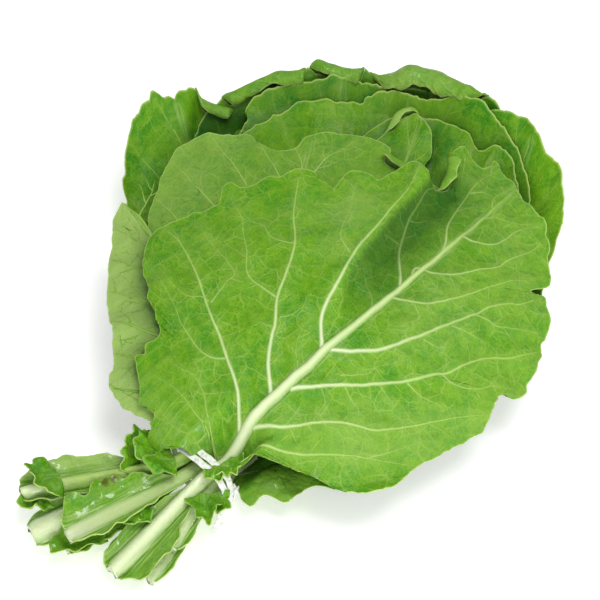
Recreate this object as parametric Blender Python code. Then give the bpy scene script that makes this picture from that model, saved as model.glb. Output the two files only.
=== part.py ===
"""Collard greens: ten leaves held at the neck by a tie, lying on their side with their stems cut.

Metres, +Z up. The leaves are worked out about the neck, where the tie sits at x = 0, with the stems
towards -X and the leaf tips towards +X. The whole bunch then hangs from one empty, which moves it so
that the origin is at the middle of the underside.

The blades lie in a pile. Between a hollow floor and a domed roof each leaf has its own share of the
height, so no leaf crosses another. A leaf is a thin sheet over its outline, with its midrib, its side
veins and its stem raised from the outer face.
"""

import math
from dataclasses import dataclass

import bmesh
import bpy
from mathutils import Matrix, Vector, noise
from mathutils.geometry import delaunay_2d_cdt

# The pile of blades, seen from above.
PILE_X = 0.152
PILE_Y = 0.032
PILE_RADIUS = 0.165
ROOF_HEIGHT = 0.104
# Heights of the pile's roof and floor at its rim, every 45 degrees from +X, anticlockwise.
ROOF_AT_RIM = (0.085, 0.095, 0.077, 0.051, 0.046, 0.042, 0.038, 0.056)
FLOOR_AT_RIM = (0.038, 0.047, 0.033, 0.012, 0.006, 0.006, 0.010, 0.024)
ROOF_POWER = 1.9
FLOOR_POWER = 3.4
FLAT_SHARE = 0.24
ROOF_BLEND = 0.010
GAPS = 9  # between the ten leaves, one above the other

# The sheets.
BLADE_THICKNESS = 0.0009
GRID_STEP = 0.020
GRID_CORNER = (-0.160, -0.208)
GRID_ROWS = 32
GRID_COLUMNS = 32
RIM_STEP = 0.0095
CLEAR_OF_LINES = 0.011
SAME_POINT = 1e-7
SLOPE_STEP = 0.001
WAVE_BAND = 0.034
WAVE_SHARE = 0.20
WAVE_LENGTH = 0.040
NOISE_PEAK = 0.5
TOOTH_DEPTH = 0.0022
TOOTH_LENGTH = 0.016

# From the tie outwards the stems spread into the pile.
FAN_START = 0.006
LOBE_BACK = -0.022
LOBE_FRONT = -0.012
LOBE_NEAR = 0.006
LOBE_FAR = 0.018

# Ribs, side veins and stems.
STEM_DEPTH = 0.0066
RIB_END_DEPTH = 0.0010
RIB_END_WIDTH = 0.0024
RIB_STEPS = 18
OUTLINED_RIB_STEPS = 6
STEM_STEPS = 8
WIDTH_POWER = 1.3
DEPTH_POWER = 1.7
NECK_PULL = 0.2
END_PULL = 0.35
CREST_SHARE = 0.27
TWO_CREST_WIDTH = 0.0042
TIE_ZONE = 0.013
COLLAR = 0.0008
COLLAR_GROWTH = 0.004
WINGS_FULL = 0.060
CUT_WINGS = 0.65  # share of the wings' width left at the cut end
NARROW_WING = 0.004
RUFFLED_WING = 0.010
WING_RUFFLE = 0.0030
RUFFLE_LENGTH = 0.024
VEIN_DEPTH = 0.0011
VEIN_START = 0.008
VEIN_STEP = 0.014
VEIN_CLEAR_OF_RIM = 0.010
VEIN_TURN = Matrix.Rotation(math.radians(52), 2)

# The tie.
TIE_WIDTH = 0.0046
TIE_THICKNESS = 0.0010
TIE_PITCH = 0.0058
TIE_TURNS = 2.0
TIE_HALF_WIDTH = 0.0264
TIE_HALF_HEIGHT = 0.0206
TIE_CENTRE_Z = 0.0222
TIE_SQUARENESS = 3.2
TIE_SIDES = 40
FLAP_WIDTH = 0.013
FLAP_FALL = (-0.009, -0.003, -0.017)
FLAP_STEPS = 6


@dataclass(frozen=True)
class Leaf:
    """One leaf with its stem. Lengths in metres."""

    name: str
    place: int  # 0 for the lowest in the pile
    cut_end: tuple  # middle of the stem's cut end
    cut_width: float
    wings: tuple  # widths of the leafy strips left and right of the stem
    cup: float  # how far the wings' edges rise above the stem
    neck: tuple  # y and z of the stem's middle inside the tie
    neck_width: float
    midrib: tuple  # x and y of two points that pull the midrib, and of its end
    rim: tuple  # x and y of points along the blade's outline, anticlockwise
    fan: float  # how far past the tie the leaf has reached its place in the pile
    outer_face_up: bool
    wave: float
    colour: tuple


def smooth_step(low, high, value):
    share = min(1.0, max(0.0, (value - low) / (high - low)))
    return share * share * (3 - 2 * share)


def between(before, here, there, after, share):
    """A point on the smooth curve through four values, between the two in the middle."""
    bend = 2 * before - 5 * here + 4 * there - after
    turn = 3 * (here - there) + after - before
    return here + 0.5 * share * (there - before + share * (bend + share * turn))


def around(values, angle):
    """A smooth closed curve through values that are evenly spaced round the circle."""
    place = (angle / math.tau) % 1.0 * len(values)
    index = int(place)
    return between(*(values[(index + k) % len(values)] for k in (-1, 0, 1, 2)), place - index)


def bezier(start, first, second, end, share):
    rest = 1 - share
    return (
        start * rest**3
        + first * 3 * rest * rest * share
        + second * 3 * rest * share * share
        + end * share**3
    )


def floor_and_roof(x, y):
    """The heights that the pile of blades lies between, over a point of the ground."""
    angle = math.atan2(y - PILE_Y, x - PILE_X)
    out = math.hypot(x - PILE_X, y - PILE_Y) / PILE_RADIUS
    floor_rim = around(FLOOR_AT_RIM, angle)
    roof_rim = around(ROOF_AT_RIM, angle)
    floor = floor_rim * max(0.0, (out - FLAT_SHARE) / (1 - FLAT_SHARE)) ** FLOOR_POWER
    rise = floor - floor_rim
    turned_up = (rise + math.hypot(rise, ROOF_BLEND)) / 2
    dome = (ROOF_HEIGHT - roof_rim) * max(0.0, 1 - out**ROOF_POWER)
    return floor, roof_rim + dome + turned_up


class LeafBuilder:
    """Builds the closed mesh of one leaf from its outline, its midrib and its share of the pile."""

    def __init__(self, leaf):
        self.leaf = leaf
        self.up = 1 if leaf.outer_face_up else -1
        self.stations = self.find_stations()
        self.rim = self.find_rim()

    def find_stations(self):
        """Points along the stem and midrib: (x, y, z, rib width, rib depth, left wing, right wing)."""
        leaf = self.leaf
        end = Vector(leaf.cut_end)
        neck = Vector((0, *leaf.neck))
        pulls = [Vector((*point, 0)) for point in leaf.midrib]
        pull = Vector((abs(end.x) * NECK_PULL, 0, 0))
        found = []
        for step in range(STEM_STEPS):
            share = step / STEM_STEPS
            point = bezier(end, end.lerp(neck, END_PULL), neck - pull, neck, share)
            width = leaf.cut_width + (leaf.neck_width - leaf.cut_width) * smooth_step(0, 0.8, share)
            leafy = CUT_WINGS + (1 - CUT_WINGS) * smooth_step(0, 0.12, share)
            leafy *= smooth_step(TIE_ZONE, WINGS_FULL, -point.x)
            wings = [wing * leafy + COLLAR for wing in leaf.wings]
            found.append((*point, width, STEM_DEPTH, *wings))
        for step in range(RIB_STEPS + 1):
            share = step / RIB_STEPS
            point = bezier(neck, *pulls, share)
            width = RIB_END_WIDTH + (leaf.neck_width - RIB_END_WIDTH) * (1 - share) ** WIDTH_POWER
            depth = RIB_END_DEPTH + (STEM_DEPTH - RIB_END_DEPTH) * (1 - share) ** DEPTH_POWER
            wing = COLLAR + COLLAR_GROWTH * smooth_step(FAN_START, leaf.fan, point.x)
            found.append((point.x, point.y, leaf.neck[1], width, depth, wing, wing))
        return found

    def side(self, index):
        """Unit vector to the left of the stem at a station, in plan."""
        last = len(self.stations) - 1
        ahead = self.stations[min(index + 1, last)]
        behind = self.stations[max(index - 1, 0)]
        return Vector((behind[1] - ahead[1], ahead[0] - behind[0])).normalized()

    def find_rim(self):
        """The blade's outline, with small teeth, as evenly spaced points."""
        rim = self.leaf.rim
        count = len(rim)
        points = []
        for index in range(count):
            here = [rim[(index + k) % count] for k in (-1, 0, 1, 2)]
            chord = math.dist(here[1], here[2])
            steps = max(1, round(chord / RIM_STEP))
            for step in range(steps):
                share = step / steps
                point = Vector([between(*(h[axis] for h in here), share) for axis in (0, 1)])
                points.append(point)
        seed = Vector((0, 0, 10.0 * self.leaf.place))
        toothed = []
        for index, point in enumerate(points):
            ahead = points[(index + 1) % len(points)] - points[index - 1]
            outward = Vector((ahead.y, -ahead.x)).normalized()
            tooth = noise.noise(point.to_3d() / TOOTH_LENGTH + seed) * TOOTH_DEPTH
            toothed.append(point + outward * tooth)
        return toothed

    def nearest(self, x, y):
        """The place along the stem nearest to a point, and the point's distance to its left."""
        best = None
        for index in range(len(self.stations) - 1):
            here = self.stations[index]
            there = self.stations[index + 1]
            run = (there[0] - here[0], there[1] - here[1])
            long = run[0] ** 2 + run[1] ** 2
            share = ((x - here[0]) * run[0] + (y - here[1]) * run[1]) / long
            share = min(1.0, max(0.0, share))
            off = (x - here[0] - share * run[0], y - here[1] - share * run[1])
            gap = math.hypot(*off)
            if best is None or gap < best[0]:
                left = run[0] * off[1] - run[1] * off[0] > 0
                best = (gap, index + share, gap if left else -gap)
        return best[1], best[2]

    def at(self, place):
        """The stem's values part way between two stations."""
        index = min(int(place), len(self.stations) - 2)
        share = place - index
        pairs = zip(self.stations[index], self.stations[index + 1])
        return [here + (there - here) * share for here, there in pairs]

    def sheet_height(self, x, y):
        """The middle of the sheet over a point of the ground."""
        leaf = self.leaf
        place, off = self.nearest(x, y)
        _, _, stem_z, width, depth, *wings = self.at(place)
        stem = stem_z - self.up * depth / 2
        wing = wings[0] if off > 0 else wings[1]
        if x < -TIE_ZONE:
            reach = min(1.0, max(0.0, abs(off) - width / 2) / max(wing, NARROW_WING))
            phase = leaf.place * 2 + (1.3 if off > 0 else 0)
            ruffle = math.sin(math.tau * x / RUFFLE_LENGTH + phase) * min(1.0, wing / RUFFLED_WING)
            stem += leaf.cup * reach**1.5 + WING_RUFFLE * ruffle * reach**2
        floor, roof = floor_and_roof(x, y)
        share = leaf.place / GAPS
        pile = floor + (roof - floor) * share + BLADE_THICKNESS / 2
        fan = smooth_step(FAN_START, leaf.fan, x)
        lobe = smooth_step(LOBE_BACK, LOBE_FRONT, x) * smooth_step(LOBE_NEAR, LOBE_FAR, abs(off))
        spread = max(fan, lobe)
        edge = min((Vector((x, y)) - point).length for point in self.rim)
        band = 1 - smooth_step(0, WAVE_BAND, edge)
        room = (roof - floor) / GAPS * WAVE_SHARE
        where = Vector((x, y, 0.1 * leaf.place)) / WAVE_LENGTH
        wave = noise.noise(where) / NOISE_PEAK * min(leaf.wave, room) * band
        return stem + (pile + wave - stem) * spread

    def rib_height(self, x, y):
        """How far the rib stands out from the sheet over a point of the ground."""
        place, off = self.nearest(x, y)
        values = self.at(place)
        width, depth = values[3:5]
        out = abs(off) / width
        return depth * min(1.0, max(0.0, (0.5 - out) / (0.5 - CREST_SHARE)))

    def rib_lines(self):
        """Four lines along the stem and rib: its two feet, and its two crests, which meet where it is narrow."""
        lines = []
        for share in (-0.5, -CREST_SHARE, CREST_SHARE, 0.5):
            line = []
            for index, station in enumerate(self.stations):
                width = station[3]
                meet = abs(share) < 0.5 and width < TWO_CREST_WIDTH
                line.append(Vector(station[:2]) + self.side(index) * width * (0 if meet else share))
            lines.append(line)
        return lines

    def stem_outline(self):
        """The stem and the first stretch of the midrib, as a closed outline."""
        left = []
        right = []
        count = STEM_STEPS + OUTLINED_RIB_STEPS
        for index, station in enumerate(self.stations[:count]):
            here = Vector(station[:2])
            side = self.side(index)
            left.append(here + side * (station[3] / 2 + station[5]))
            right.append(here - side * (station[3] / 2 + station[6]))
        across_end = [line[0] for line in self.rib_lines()]
        return right + left[::-1] + across_end[::-1]

    def vein_lines(self):
        """Crests of the side veins, which leave the midrib to the left and to the right."""
        lines = []
        for index in range(STEM_STEPS + 2, len(self.stations) - 3, 2):
            here = Vector(self.stations[index][:2])
            ahead = (Vector(self.stations[index + 1][:2]) - here).normalized()
            for turn in (VEIN_TURN, VEIN_TURN.inverted()):
                heading = turn @ ahead
                line = []
                run = VEIN_START
                while inside(self.rim, here + heading * (run + VEIN_CLEAR_OF_RIM)):
                    line.append(here + heading * run)
                    run += VEIN_STEP
                lines.append(line)
        return lines

    def grid_points(self, lines):
        """An even grid, shared by all leaves, inside the outline and clear of the other points."""
        points = []
        rows = math.sqrt(0.75) * GRID_STEP
        for row in range(GRID_ROWS):
            for column in range(GRID_COLUMNS):
                across = (column + 0.5 * (row % 2)) * GRID_STEP
                point = Vector(GRID_CORNER) + Vector((across, row * rows))
                if not inside(self.rim, point):
                    continue
                if min((point - other).length for other in lines) > CLEAR_OF_LINES:
                    points.append(point)
        return points

    def build(self):
        stem = self.stem_outline()
        veins = self.vein_lines()
        points = []
        edges = []
        for line in [self.rim + self.rim[:1], stem + stem[:1], *self.rib_lines(), *veins]:
            first = len(points)
            points += line
            edges += [(i, i + 1) for i in range(first, len(points) - 1)]
        points += self.grid_points(points)
        points, _, faces, *_ = delaunay_2d_cdt(points, edges, [], 0, SAME_POINT)
        crests = [point for line in veins for point in line]
        kept = []
        for face in faces:
            centre = sum((points[i] for i in face), Vector((0, 0))) / 3
            if inside(self.rim, centre) or inside(stem, centre):
                kept.append(face)
        return self.solid(points, kept, crests)

    def solid(self, points, faces, crests):
        """Lays the flat sheet at its height and gives it its thickness, its rib and its veins."""
        model = bmesh.new()
        verts = {}
        for face in faces:
            for index in face:
                if index not in verts:
                    verts[index] = model.verts.new((*points[index], 0))
            model.faces.new([verts[i] for i in face])
        bmesh.ops.recalc_face_normals(model, faces=model.faces)
        if sum(face.normal.z for face in model.faces) > 0:
            bmesh.ops.reverse_faces(model, faces=model.faces)
        grown = bmesh.ops.extrude_face_region(model, geom=model.faces[:], use_keep_orig=True)
        upper = {v for v in grown["geom"] if isinstance(v, bmesh.types.BMVert)}
        for vert in model.verts:
            x, y = vert.co.xy
            low, high = self.faces_at(x, y, crests)
            vert.co.z = high if vert in upper else low
        bmesh.ops.recalc_face_normals(model, faces=model.faces)
        mesh = bpy.data.meshes.new(self.leaf.name)
        model.to_mesh(mesh)
        model.free()
        return mesh

    def faces_at(self, x, y, crests):
        """Heights of the lower and upper face over a point. The lowest leaf is pressed flat."""
        middle = self.sheet_height(x, y)
        slope_x = (self.sheet_height(x + SLOPE_STEP, y) - middle) / SLOPE_STEP
        slope_y = (self.sheet_height(x, y + SLOPE_STEP) - middle) / SLOPE_STEP
        half = BLADE_THICKNESS / 2 * min(2.0, math.sqrt(1 + slope_x**2 + slope_y**2))
        rib = self.rib_height(x, y)
        if min((Vector((x, y)) - crest).length for crest in crests) < 10 * SAME_POINT:
            rib = max(rib, VEIN_DEPTH)
        low = middle - half
        high = middle + half
        if self.up > 0:
            return low, high + rib
        pressed = max(0.0, rib - low)
        return max(0.0, low - rib), high + pressed


def inside(outline, point):
    """Whether a point of the plan lies inside a closed outline."""
    x, y = point
    found = False
    for index, (x2, y2) in enumerate(outline):
        x1, y1 = outline[index - 1]
        if (y1 > y) != (y2 > y) and x < x1 + (y - y1) / (y2 - y1) * (x2 - x1):
            found = not found
    return found


class Tie:
    """The flat band wound round the neck. It starts on the near side and ends there in a hanging flap."""

    def point(self, turn, lift):
        """A point of the winding after some turns, and lifted off the middle of the band."""
        angle = math.pi + turn * math.tau
        across = math.cos(angle)
        upward = math.sin(angle)
        bulge = (abs(across) ** TIE_SQUARENESS + abs(upward) ** TIE_SQUARENESS) ** (-1 / TIE_SQUARENESS)
        y = (TIE_HALF_WIDTH + lift) * across * bulge
        z = TIE_CENTRE_Z + (TIE_HALF_HEIGHT + lift) * upward * bulge
        x = TIE_PITCH * (TIE_TURNS / 2 - turn)
        return Vector((x, y, z))

    def section(self, inner, outer, width):
        along = Vector((width / 2, 0, 0))
        return [inner - along, outer - along, outer + along, inner + along]

    def sections(self):
        """Cross-sections of the ribbon, along the winding and then down the flap."""
        half = TIE_THICKNESS / 2
        for step in range(round(TIE_SIDES * TIE_TURNS) + 1):
            turn = step / TIE_SIDES
            yield self.section(self.point(turn, -half), self.point(turn, half), TIE_WIDTH)
        for step in range(1, FLAP_STEPS + 1):
            share = step / FLAP_STEPS
            open_share = smooth_step(0, 0.5, share)
            fall = Vector(FLAP_FALL) * share
            width = TIE_WIDTH + (FLAP_WIDTH - TIE_WIDTH) * open_share
            inner = self.point(TIE_TURNS, -half) + fall
            yield self.section(inner, self.point(TIE_TURNS, half) + fall, width)

    def build(self):
        model = bmesh.new()
        rings = [[model.verts.new(corner) for corner in corners] for corners in self.sections()]
        for ring, following in zip(rings, rings[1:]):
            for k in range(4):
                model.faces.new((ring[k], ring[k - 1], following[k - 1], following[k]))
        model.faces.new(rings[0])
        model.faces.new(rings[-1][::-1])
        bmesh.ops.recalc_face_normals(model, faces=model.faces)
        mesh = bpy.data.meshes.new("tie")
        model.to_mesh(mesh)
        model.free()
        return mesh


LEAVES = (
    Leaf(
        name="leaf_front",
        place=9,
        cut_end=(-0.088, -0.004, 0.015),
        cut_width=0.013,
        wings=(0.007, 0.014),
        cup=0.004,
        neck=(-0.010, 0.035),
        neck_width=0.0095,
        midrib=((0.040, -0.030), (0.165, -0.045), (0.300, -0.034)),
        rim=(
            (0.014, -0.032),
            (0.029, -0.069),
            (0.041, -0.092),
            (0.056, -0.108),
            (0.099, -0.119),
            (0.135, -0.129),
            (0.162, -0.125),
            (0.177, -0.136),
            (0.215, -0.121),
            (0.243, -0.104),
            (0.249, -0.094),
            (0.267, -0.087),
            (0.283, -0.071),
            (0.301, -0.036),
            (0.306, -0.014),
            (0.291, -0.007),
            (0.291, 0.011),
            (0.264, 0.004),
            (0.250, 0.014),
            (0.236, 0.024),
            (0.220, 0.032),
            (0.210, 0.050),
            (0.200, 0.058),
            (0.197, 0.068),
            (0.169, 0.093),
            (0.145, 0.107),
            (0.123, 0.107),
            (0.102, 0.121),
            (0.087, 0.126),
            (0.063, 0.100),
            (0.040, 0.071),
            (0.030, 0.069),
            (0.014, 0.066),
            (-0.004, 0.040),
            (-0.016, 0.027),
            (-0.013, 0.012),
            (-0.003, 0.005),
            (0.011, 0.001),
        ),
        fan=0.034,
        outer_face_up=True,
        wave=0.004,
        colour=(0.17, 0.36, 0.03, 1),
    ),
    Leaf(
        name="leaf_left",
        place=8,
        cut_end=(-0.089, 0.074, 0.030),
        cut_width=0.010,
        wings=(0.012, 0.005),
        cup=0.004,
        neck=(0.011, 0.035),
        neck_width=0.0085,
        midrib=((0.035, 0.016), (0.085, 0.080), (0.108, 0.160)),
        rim=(
            (0.030, 0.000),
            (0.060, -0.010),
            (0.100, 0.000),
            (0.128, 0.030),
            (0.134, 0.066),
            (0.122, 0.096),
            (0.104, 0.118),
            (0.101, 0.136),
            (0.105, 0.152),
            (0.111, 0.172),
            (0.097, 0.167),
            (0.083, 0.155),
            (0.051, 0.130),
            (0.030, 0.105),
            (0.012, 0.086),
            (0.002, 0.082),
            (-0.007, 0.064),
            (-0.006, 0.043),
            (0.004, 0.027),
            (0.014, 0.016),
        ),
        fan=0.044,
        outer_face_up=True,
        wave=0.003,
        colour=(0.20, 0.38, 0.06, 1),
    ),
    Leaf(
        name="leaf_second",
        place=7,
        cut_end=(-0.101, 0.055, 0.015),
        cut_width=0.019,
        wings=(0.004, 0.003),
        cup=0.002,
        neck=(0.0145, 0.026),
        neck_width=0.0085,
        midrib=((0.060, 0.020), (0.150, 0.050), (0.240, 0.104)),
        rim=(
            (0.030, 0.000),
            (0.050, -0.040),
            (0.085, -0.080),
            (0.135, -0.097),
            (0.190, -0.092),
            (0.230, -0.070),
            (0.255, -0.040),
            (0.266, -0.010),
            (0.265, 0.018),
            (0.258, 0.045),
            (0.267, 0.056),
            (0.264, 0.076),
            (0.255, 0.099),
            (0.241, 0.108),
            (0.218, 0.108),
            (0.211, 0.126),
            (0.215, 0.146),
            (0.203, 0.160),
            (0.195, 0.171),
            (0.176, 0.178),
            (0.156, 0.173),
            (0.139, 0.164),
            (0.115, 0.151),
            (0.098, 0.134),
            (0.084, 0.110),
            (0.066, 0.080),
            (0.048, 0.050),
            (0.034, 0.024),
        ),
        fan=0.046,
        outer_face_up=True,
        wave=0.003,
        colour=(0.19, 0.40, 0.03, 1),
    ),
    Leaf(
        name="leaf_inner_small",
        place=6,
        cut_end=(-0.094, 0.026, 0.029),
        cut_width=0.012,
        wings=(0.014, 0.007),
        cup=0.007,
        neck=(0.001, 0.026),
        neck_width=0.0080,
        midrib=((0.080, 0.000), (0.200, 0.010), (0.308, 0.060)),
        rim=(
            (0.050, -0.008),
            (0.100, -0.022),
            (0.160, -0.022),
            (0.220, -0.002),
            (0.270, 0.026),
            (0.302, 0.044),
            (0.313, 0.066),
            (0.301, 0.076),
            (0.278, 0.072),
            (0.240, 0.080),
            (0.190, 0.072),
            (0.130, 0.050),
            (0.080, 0.026),
            (0.050, 0.010),
        ),
        fan=0.050,
        outer_face_up=False,
        wave=0.003,
        colour=(0.16, 0.33, 0.03, 1),
    ),
    Leaf(
        name="leaf_inner",
        place=5,
        cut_end=(-0.052, -0.022, 0.0145),
        cut_width=0.009,
        wings=(0.002, 0.005),
        cup=0.001,
        neck=(-0.0145, 0.026),
        neck_width=0.0080,
        midrib=((0.080, -0.014), (0.200, -0.020), (0.320, 0.002)),
        rim=(
            (0.045, -0.022),
            (0.080, -0.050),
            (0.130, -0.075),
            (0.190, -0.085),
            (0.245, -0.075),
            (0.285, -0.055),
            (0.309, -0.031),
            (0.324, -0.014),
            (0.326, 0.004),
            (0.318, 0.011),
            (0.322, 0.026),
            (0.320, 0.043),
            (0.314, 0.060),
            (0.304, 0.077),
            (0.270, 0.090),
            (0.220, 0.085),
            (0.160, 0.060),
            (0.100, 0.030),
            (0.055, 0.004),
        ),
        fan=0.050,
        outer_face_up=False,
        wave=0.001,
        colour=(0.15, 0.34, 0.03, 1),
    ),
    Leaf(
        name="leaf_third",
        place=4,
        cut_end=(-0.042, -0.001, 0.015),
        cut_width=0.009,
        wings=(0.001, 0.001),
        cup=0.001,
        neck=(-0.007, 0.017),
        neck_width=0.0080,
        midrib=((0.080, 0.000), (0.200, 0.020), (0.318, 0.078)),
        rim=(
            (0.056, -0.016),
            (0.090, -0.045),
            (0.150, -0.068),
            (0.210, -0.075),
            (0.265, -0.065),
            (0.305, -0.045),
            (0.328, -0.018),
            (0.336, 0.006),
            (0.340, 0.028),
            (0.336, 0.048),
            (0.328, 0.065),
            (0.318, 0.090),
            (0.305, 0.104),
            (0.299, 0.106),
            (0.292, 0.117),
            (0.271, 0.142),
            (0.252, 0.151),
            (0.232, 0.160),
            (0.200, 0.155),
            (0.150, 0.120),
            (0.100, 0.075),
            (0.066, 0.030),
            (0.056, 0.006),
        ),
        fan=0.052,
        outer_face_up=False,
        wave=0.002,
        colour=(0.15, 0.36, 0.03, 1),
    ),
    Leaf(
        name="leaf_fourth",
        place=3,
        cut_end=(-0.093, 0.032, 0.007),
        cut_width=0.010,
        wings=(0.001, 0.005),
        cup=0.002,
        neck=(0.007, 0.017),
        neck_width=0.0080,
        midrib=((0.080, 0.010), (0.200, 0.050), (0.298, 0.124)),
        rim=(
            (0.058, 0.002),
            (0.090, -0.028),
            (0.150, -0.045),
            (0.210, -0.040),
            (0.265, -0.015),
            (0.300, 0.025),
            (0.318, 0.065),
            (0.316, 0.098),
            (0.307, 0.120),
            (0.288, 0.142),
            (0.274, 0.155),
            (0.258, 0.167),
            (0.243, 0.172),
            (0.234, 0.164),
            (0.200, 0.165),
            (0.150, 0.145),
            (0.100, 0.105),
            (0.065, 0.060),
            (0.045, 0.022),
        ),
        fan=0.058,
        outer_face_up=False,
        wave=0.003,
        colour=(0.14, 0.33, 0.03, 1),
    ),
    Leaf(
        name="leaf_right",
        place=2,
        cut_end=(-0.074, -0.023, 0.004),
        cut_width=0.009,
        wings=(0.002, 0.003),
        cup=0.002,
        neck=(-0.012, 0.008),
        neck_width=0.0080,
        midrib=((0.080, -0.030), (0.200, -0.050), (0.338, -0.018)),
        rim=(
            (0.018, -0.020),
            (0.006, -0.034),
            (0.005, -0.048),
            (0.028, -0.060),
            (0.045, -0.078),
            (0.075, -0.095),
            (0.115, -0.106),
            (0.160, -0.110),
            (0.210, -0.104),
            (0.255, -0.090),
            (0.296, -0.074),
            (0.312, -0.068),
            (0.326, -0.056),
            (0.334, -0.046),
            (0.340, -0.029),
            (0.347, -0.007),
            (0.345, 0.014),
            (0.335, 0.035),
            (0.305, 0.050),
            (0.250, 0.055),
            (0.190, 0.045),
            (0.130, 0.025),
            (0.080, 0.006),
            (0.045, -0.004),
        ),
        fan=0.060,
        outer_face_up=False,
        wave=0.003,
        colour=(0.17, 0.36, 0.02, 1),
    ),
    Leaf(
        name="leaf_back_left",
        place=1,
        cut_end=(-0.080, 0.074, 0.006),
        cut_width=0.009,
        wings=(0.002, 0.001),
        cup=0.002,
        neck=(0.0115, 0.008),
        neck_width=0.0080,
        midrib=((0.070, 0.020), (0.160, 0.100), (0.206, 0.206)),
        rim=(
            (0.045, 0.004),
            (0.100, -0.015),
            (0.160, -0.010),
            (0.215, 0.020),
            (0.250, 0.070),
            (0.262, 0.120),
            (0.252, 0.165),
            (0.236, 0.192),
            (0.221, 0.207),
            (0.206, 0.211),
            (0.196, 0.220),
            (0.178, 0.222),
            (0.161, 0.217),
            (0.145, 0.205),
            (0.130, 0.190),
            (0.105, 0.160),
            (0.075, 0.125),
            (0.055, 0.085),
            (0.042, 0.050),
            (0.038, 0.022),
        ),
        fan=0.062,
        outer_face_up=False,
        wave=0.003,
        colour=(0.14, 0.36, 0.02, 1),
    ),
    Leaf(
        name="leaf_back",
        place=0,
        cut_end=(-0.076, 0.008, 0.005),
        cut_width=0.009,
        wings=(0.002, 0.002),
        cup=0.001,
        neck=(0.000, 0.008),
        neck_width=0.0080,
        midrib=((0.080, -0.004), (0.220, 0.010), (0.344, 0.072)),
        rim=(
            (0.040, -0.014),
            (0.080, -0.050),
            (0.130, -0.080),
            (0.190, -0.090),
            (0.250, -0.080),
            (0.300, -0.055),
            (0.335, -0.020),
            (0.348, 0.016),
            (0.351, 0.042),
            (0.348, 0.067),
            (0.341, 0.087),
            (0.331, 0.100),
            (0.318, 0.121),
            (0.303, 0.148),
            (0.291, 0.155),
            (0.262, 0.180),
            (0.234, 0.194),
            (0.200, 0.190),
            (0.150, 0.170),
            (0.100, 0.130),
            (0.065, 0.085),
            (0.042, 0.040),
            (0.036, 0.010),
        ),
        fan=0.064,
        outer_face_up=False,
        wave=0.003,
        colour=(0.10, 0.30, 0.02, 1),
    ),
)


def finish(name, colour, roughness):
    material = bpy.data.materials.new(name)
    material.use_nodes = True
    shader = material.node_tree.nodes["Principled BSDF"]
    shader.inputs["Base Color"].default_value = colour
    shader.inputs["Roughness"].default_value = roughness
    shader.inputs["Metallic"].default_value = 0.0
    return material


def main():
    for old in list(bpy.data.objects):
        bpy.data.objects.remove(old)
    bunch = bpy.data.objects.new("bunch", None)
    bpy.context.collection.objects.link(bunch)
    pieces = []
    for leaf in LEAVES:
        mesh = LeafBuilder(leaf).build()
        mesh.materials.append(finish(leaf.name, leaf.colour, 0.45))
        pieces.append(bpy.data.objects.new(leaf.name, mesh))
    band = Tie().build()
    band.materials.append(finish("tie", (0.82, 0.83, 0.80, 1), 0.6))
    pieces.append(bpy.data.objects.new("tie", band))
    corners = [vert.co for piece in pieces for vert in piece.data.vertices]
    for axis in (0, 1):
        values = [corner[axis] for corner in corners]
        bunch.location[axis] = -(min(values) + max(values)) / 2
    for piece in pieces:
        bpy.context.collection.objects.link(piece)
        piece.parent = bunch
        piece.data.shade_smooth()
        piece.data.set_sharp_from_angle(angle=math.radians(50))


main()
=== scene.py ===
"""Dresses the tied bunch of collard greens: fine leaf sheets, raised veins, ribs, cut ends and the tie.

Metres, +Z up, in the part's own frame. The leaves are worked out about the neck, where the tie sits, with
the stems towards -X and the tips towards +X, and are moved to the part's frame by NECK. A plan is a table
of points of the ground, with x and y last.
"""

import functools
import logging
import math
from collections.abc import Sequence
from dataclasses import dataclass
from enum import Enum

import bmesh
import bpy
import numpy as np
from mathutils import Matrix, Vector
from mathutils.kdtree import KDTree


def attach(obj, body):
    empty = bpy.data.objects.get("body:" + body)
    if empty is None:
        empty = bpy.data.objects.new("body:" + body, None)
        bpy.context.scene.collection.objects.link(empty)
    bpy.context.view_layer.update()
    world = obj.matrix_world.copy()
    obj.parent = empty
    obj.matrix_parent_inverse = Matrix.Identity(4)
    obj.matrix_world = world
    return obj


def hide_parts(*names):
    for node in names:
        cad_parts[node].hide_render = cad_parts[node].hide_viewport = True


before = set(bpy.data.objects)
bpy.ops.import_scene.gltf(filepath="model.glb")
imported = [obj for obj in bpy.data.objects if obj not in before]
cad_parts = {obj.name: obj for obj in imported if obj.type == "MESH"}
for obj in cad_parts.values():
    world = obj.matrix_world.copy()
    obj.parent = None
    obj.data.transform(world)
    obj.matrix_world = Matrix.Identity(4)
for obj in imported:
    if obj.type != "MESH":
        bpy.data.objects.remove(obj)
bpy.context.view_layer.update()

log = logging.getLogger("collards")

NECK = np.array([-0.12272, -0.04274, 0.0])
BLADE_THICKNESS = 0.0009
SCRAP_THICKNESS = 0.0007
SAME_POINT = 1e-6
MILLIMETRE = 1000
MAP_NAME = "LeafMap"

Point = tuple[float, float]
Spot = tuple[float, float, float]
Colour = tuple[float, float, float, float]
Socket = bpy.types.NodeSocket
Inputs = dict[str | int, object]


class Face(Enum):
    """Which face of a leaf looks up."""

    OUTER = 1
    INSIDE = -1


class Side(Enum):
    """Left or right of the midrib, looking from the stem to the tip."""

    LEFT = 1
    RIGHT = -1


def smooth_step(low: float, high: float, value: np.ndarray) -> np.ndarray:
    """Rises smoothly from 0 at one value to 1 at another, which may be the smaller one."""
    share = np.clip((value - low) / (high - low), 0.0, 1.0)
    return share * share * (3 - 2 * share)


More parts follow.
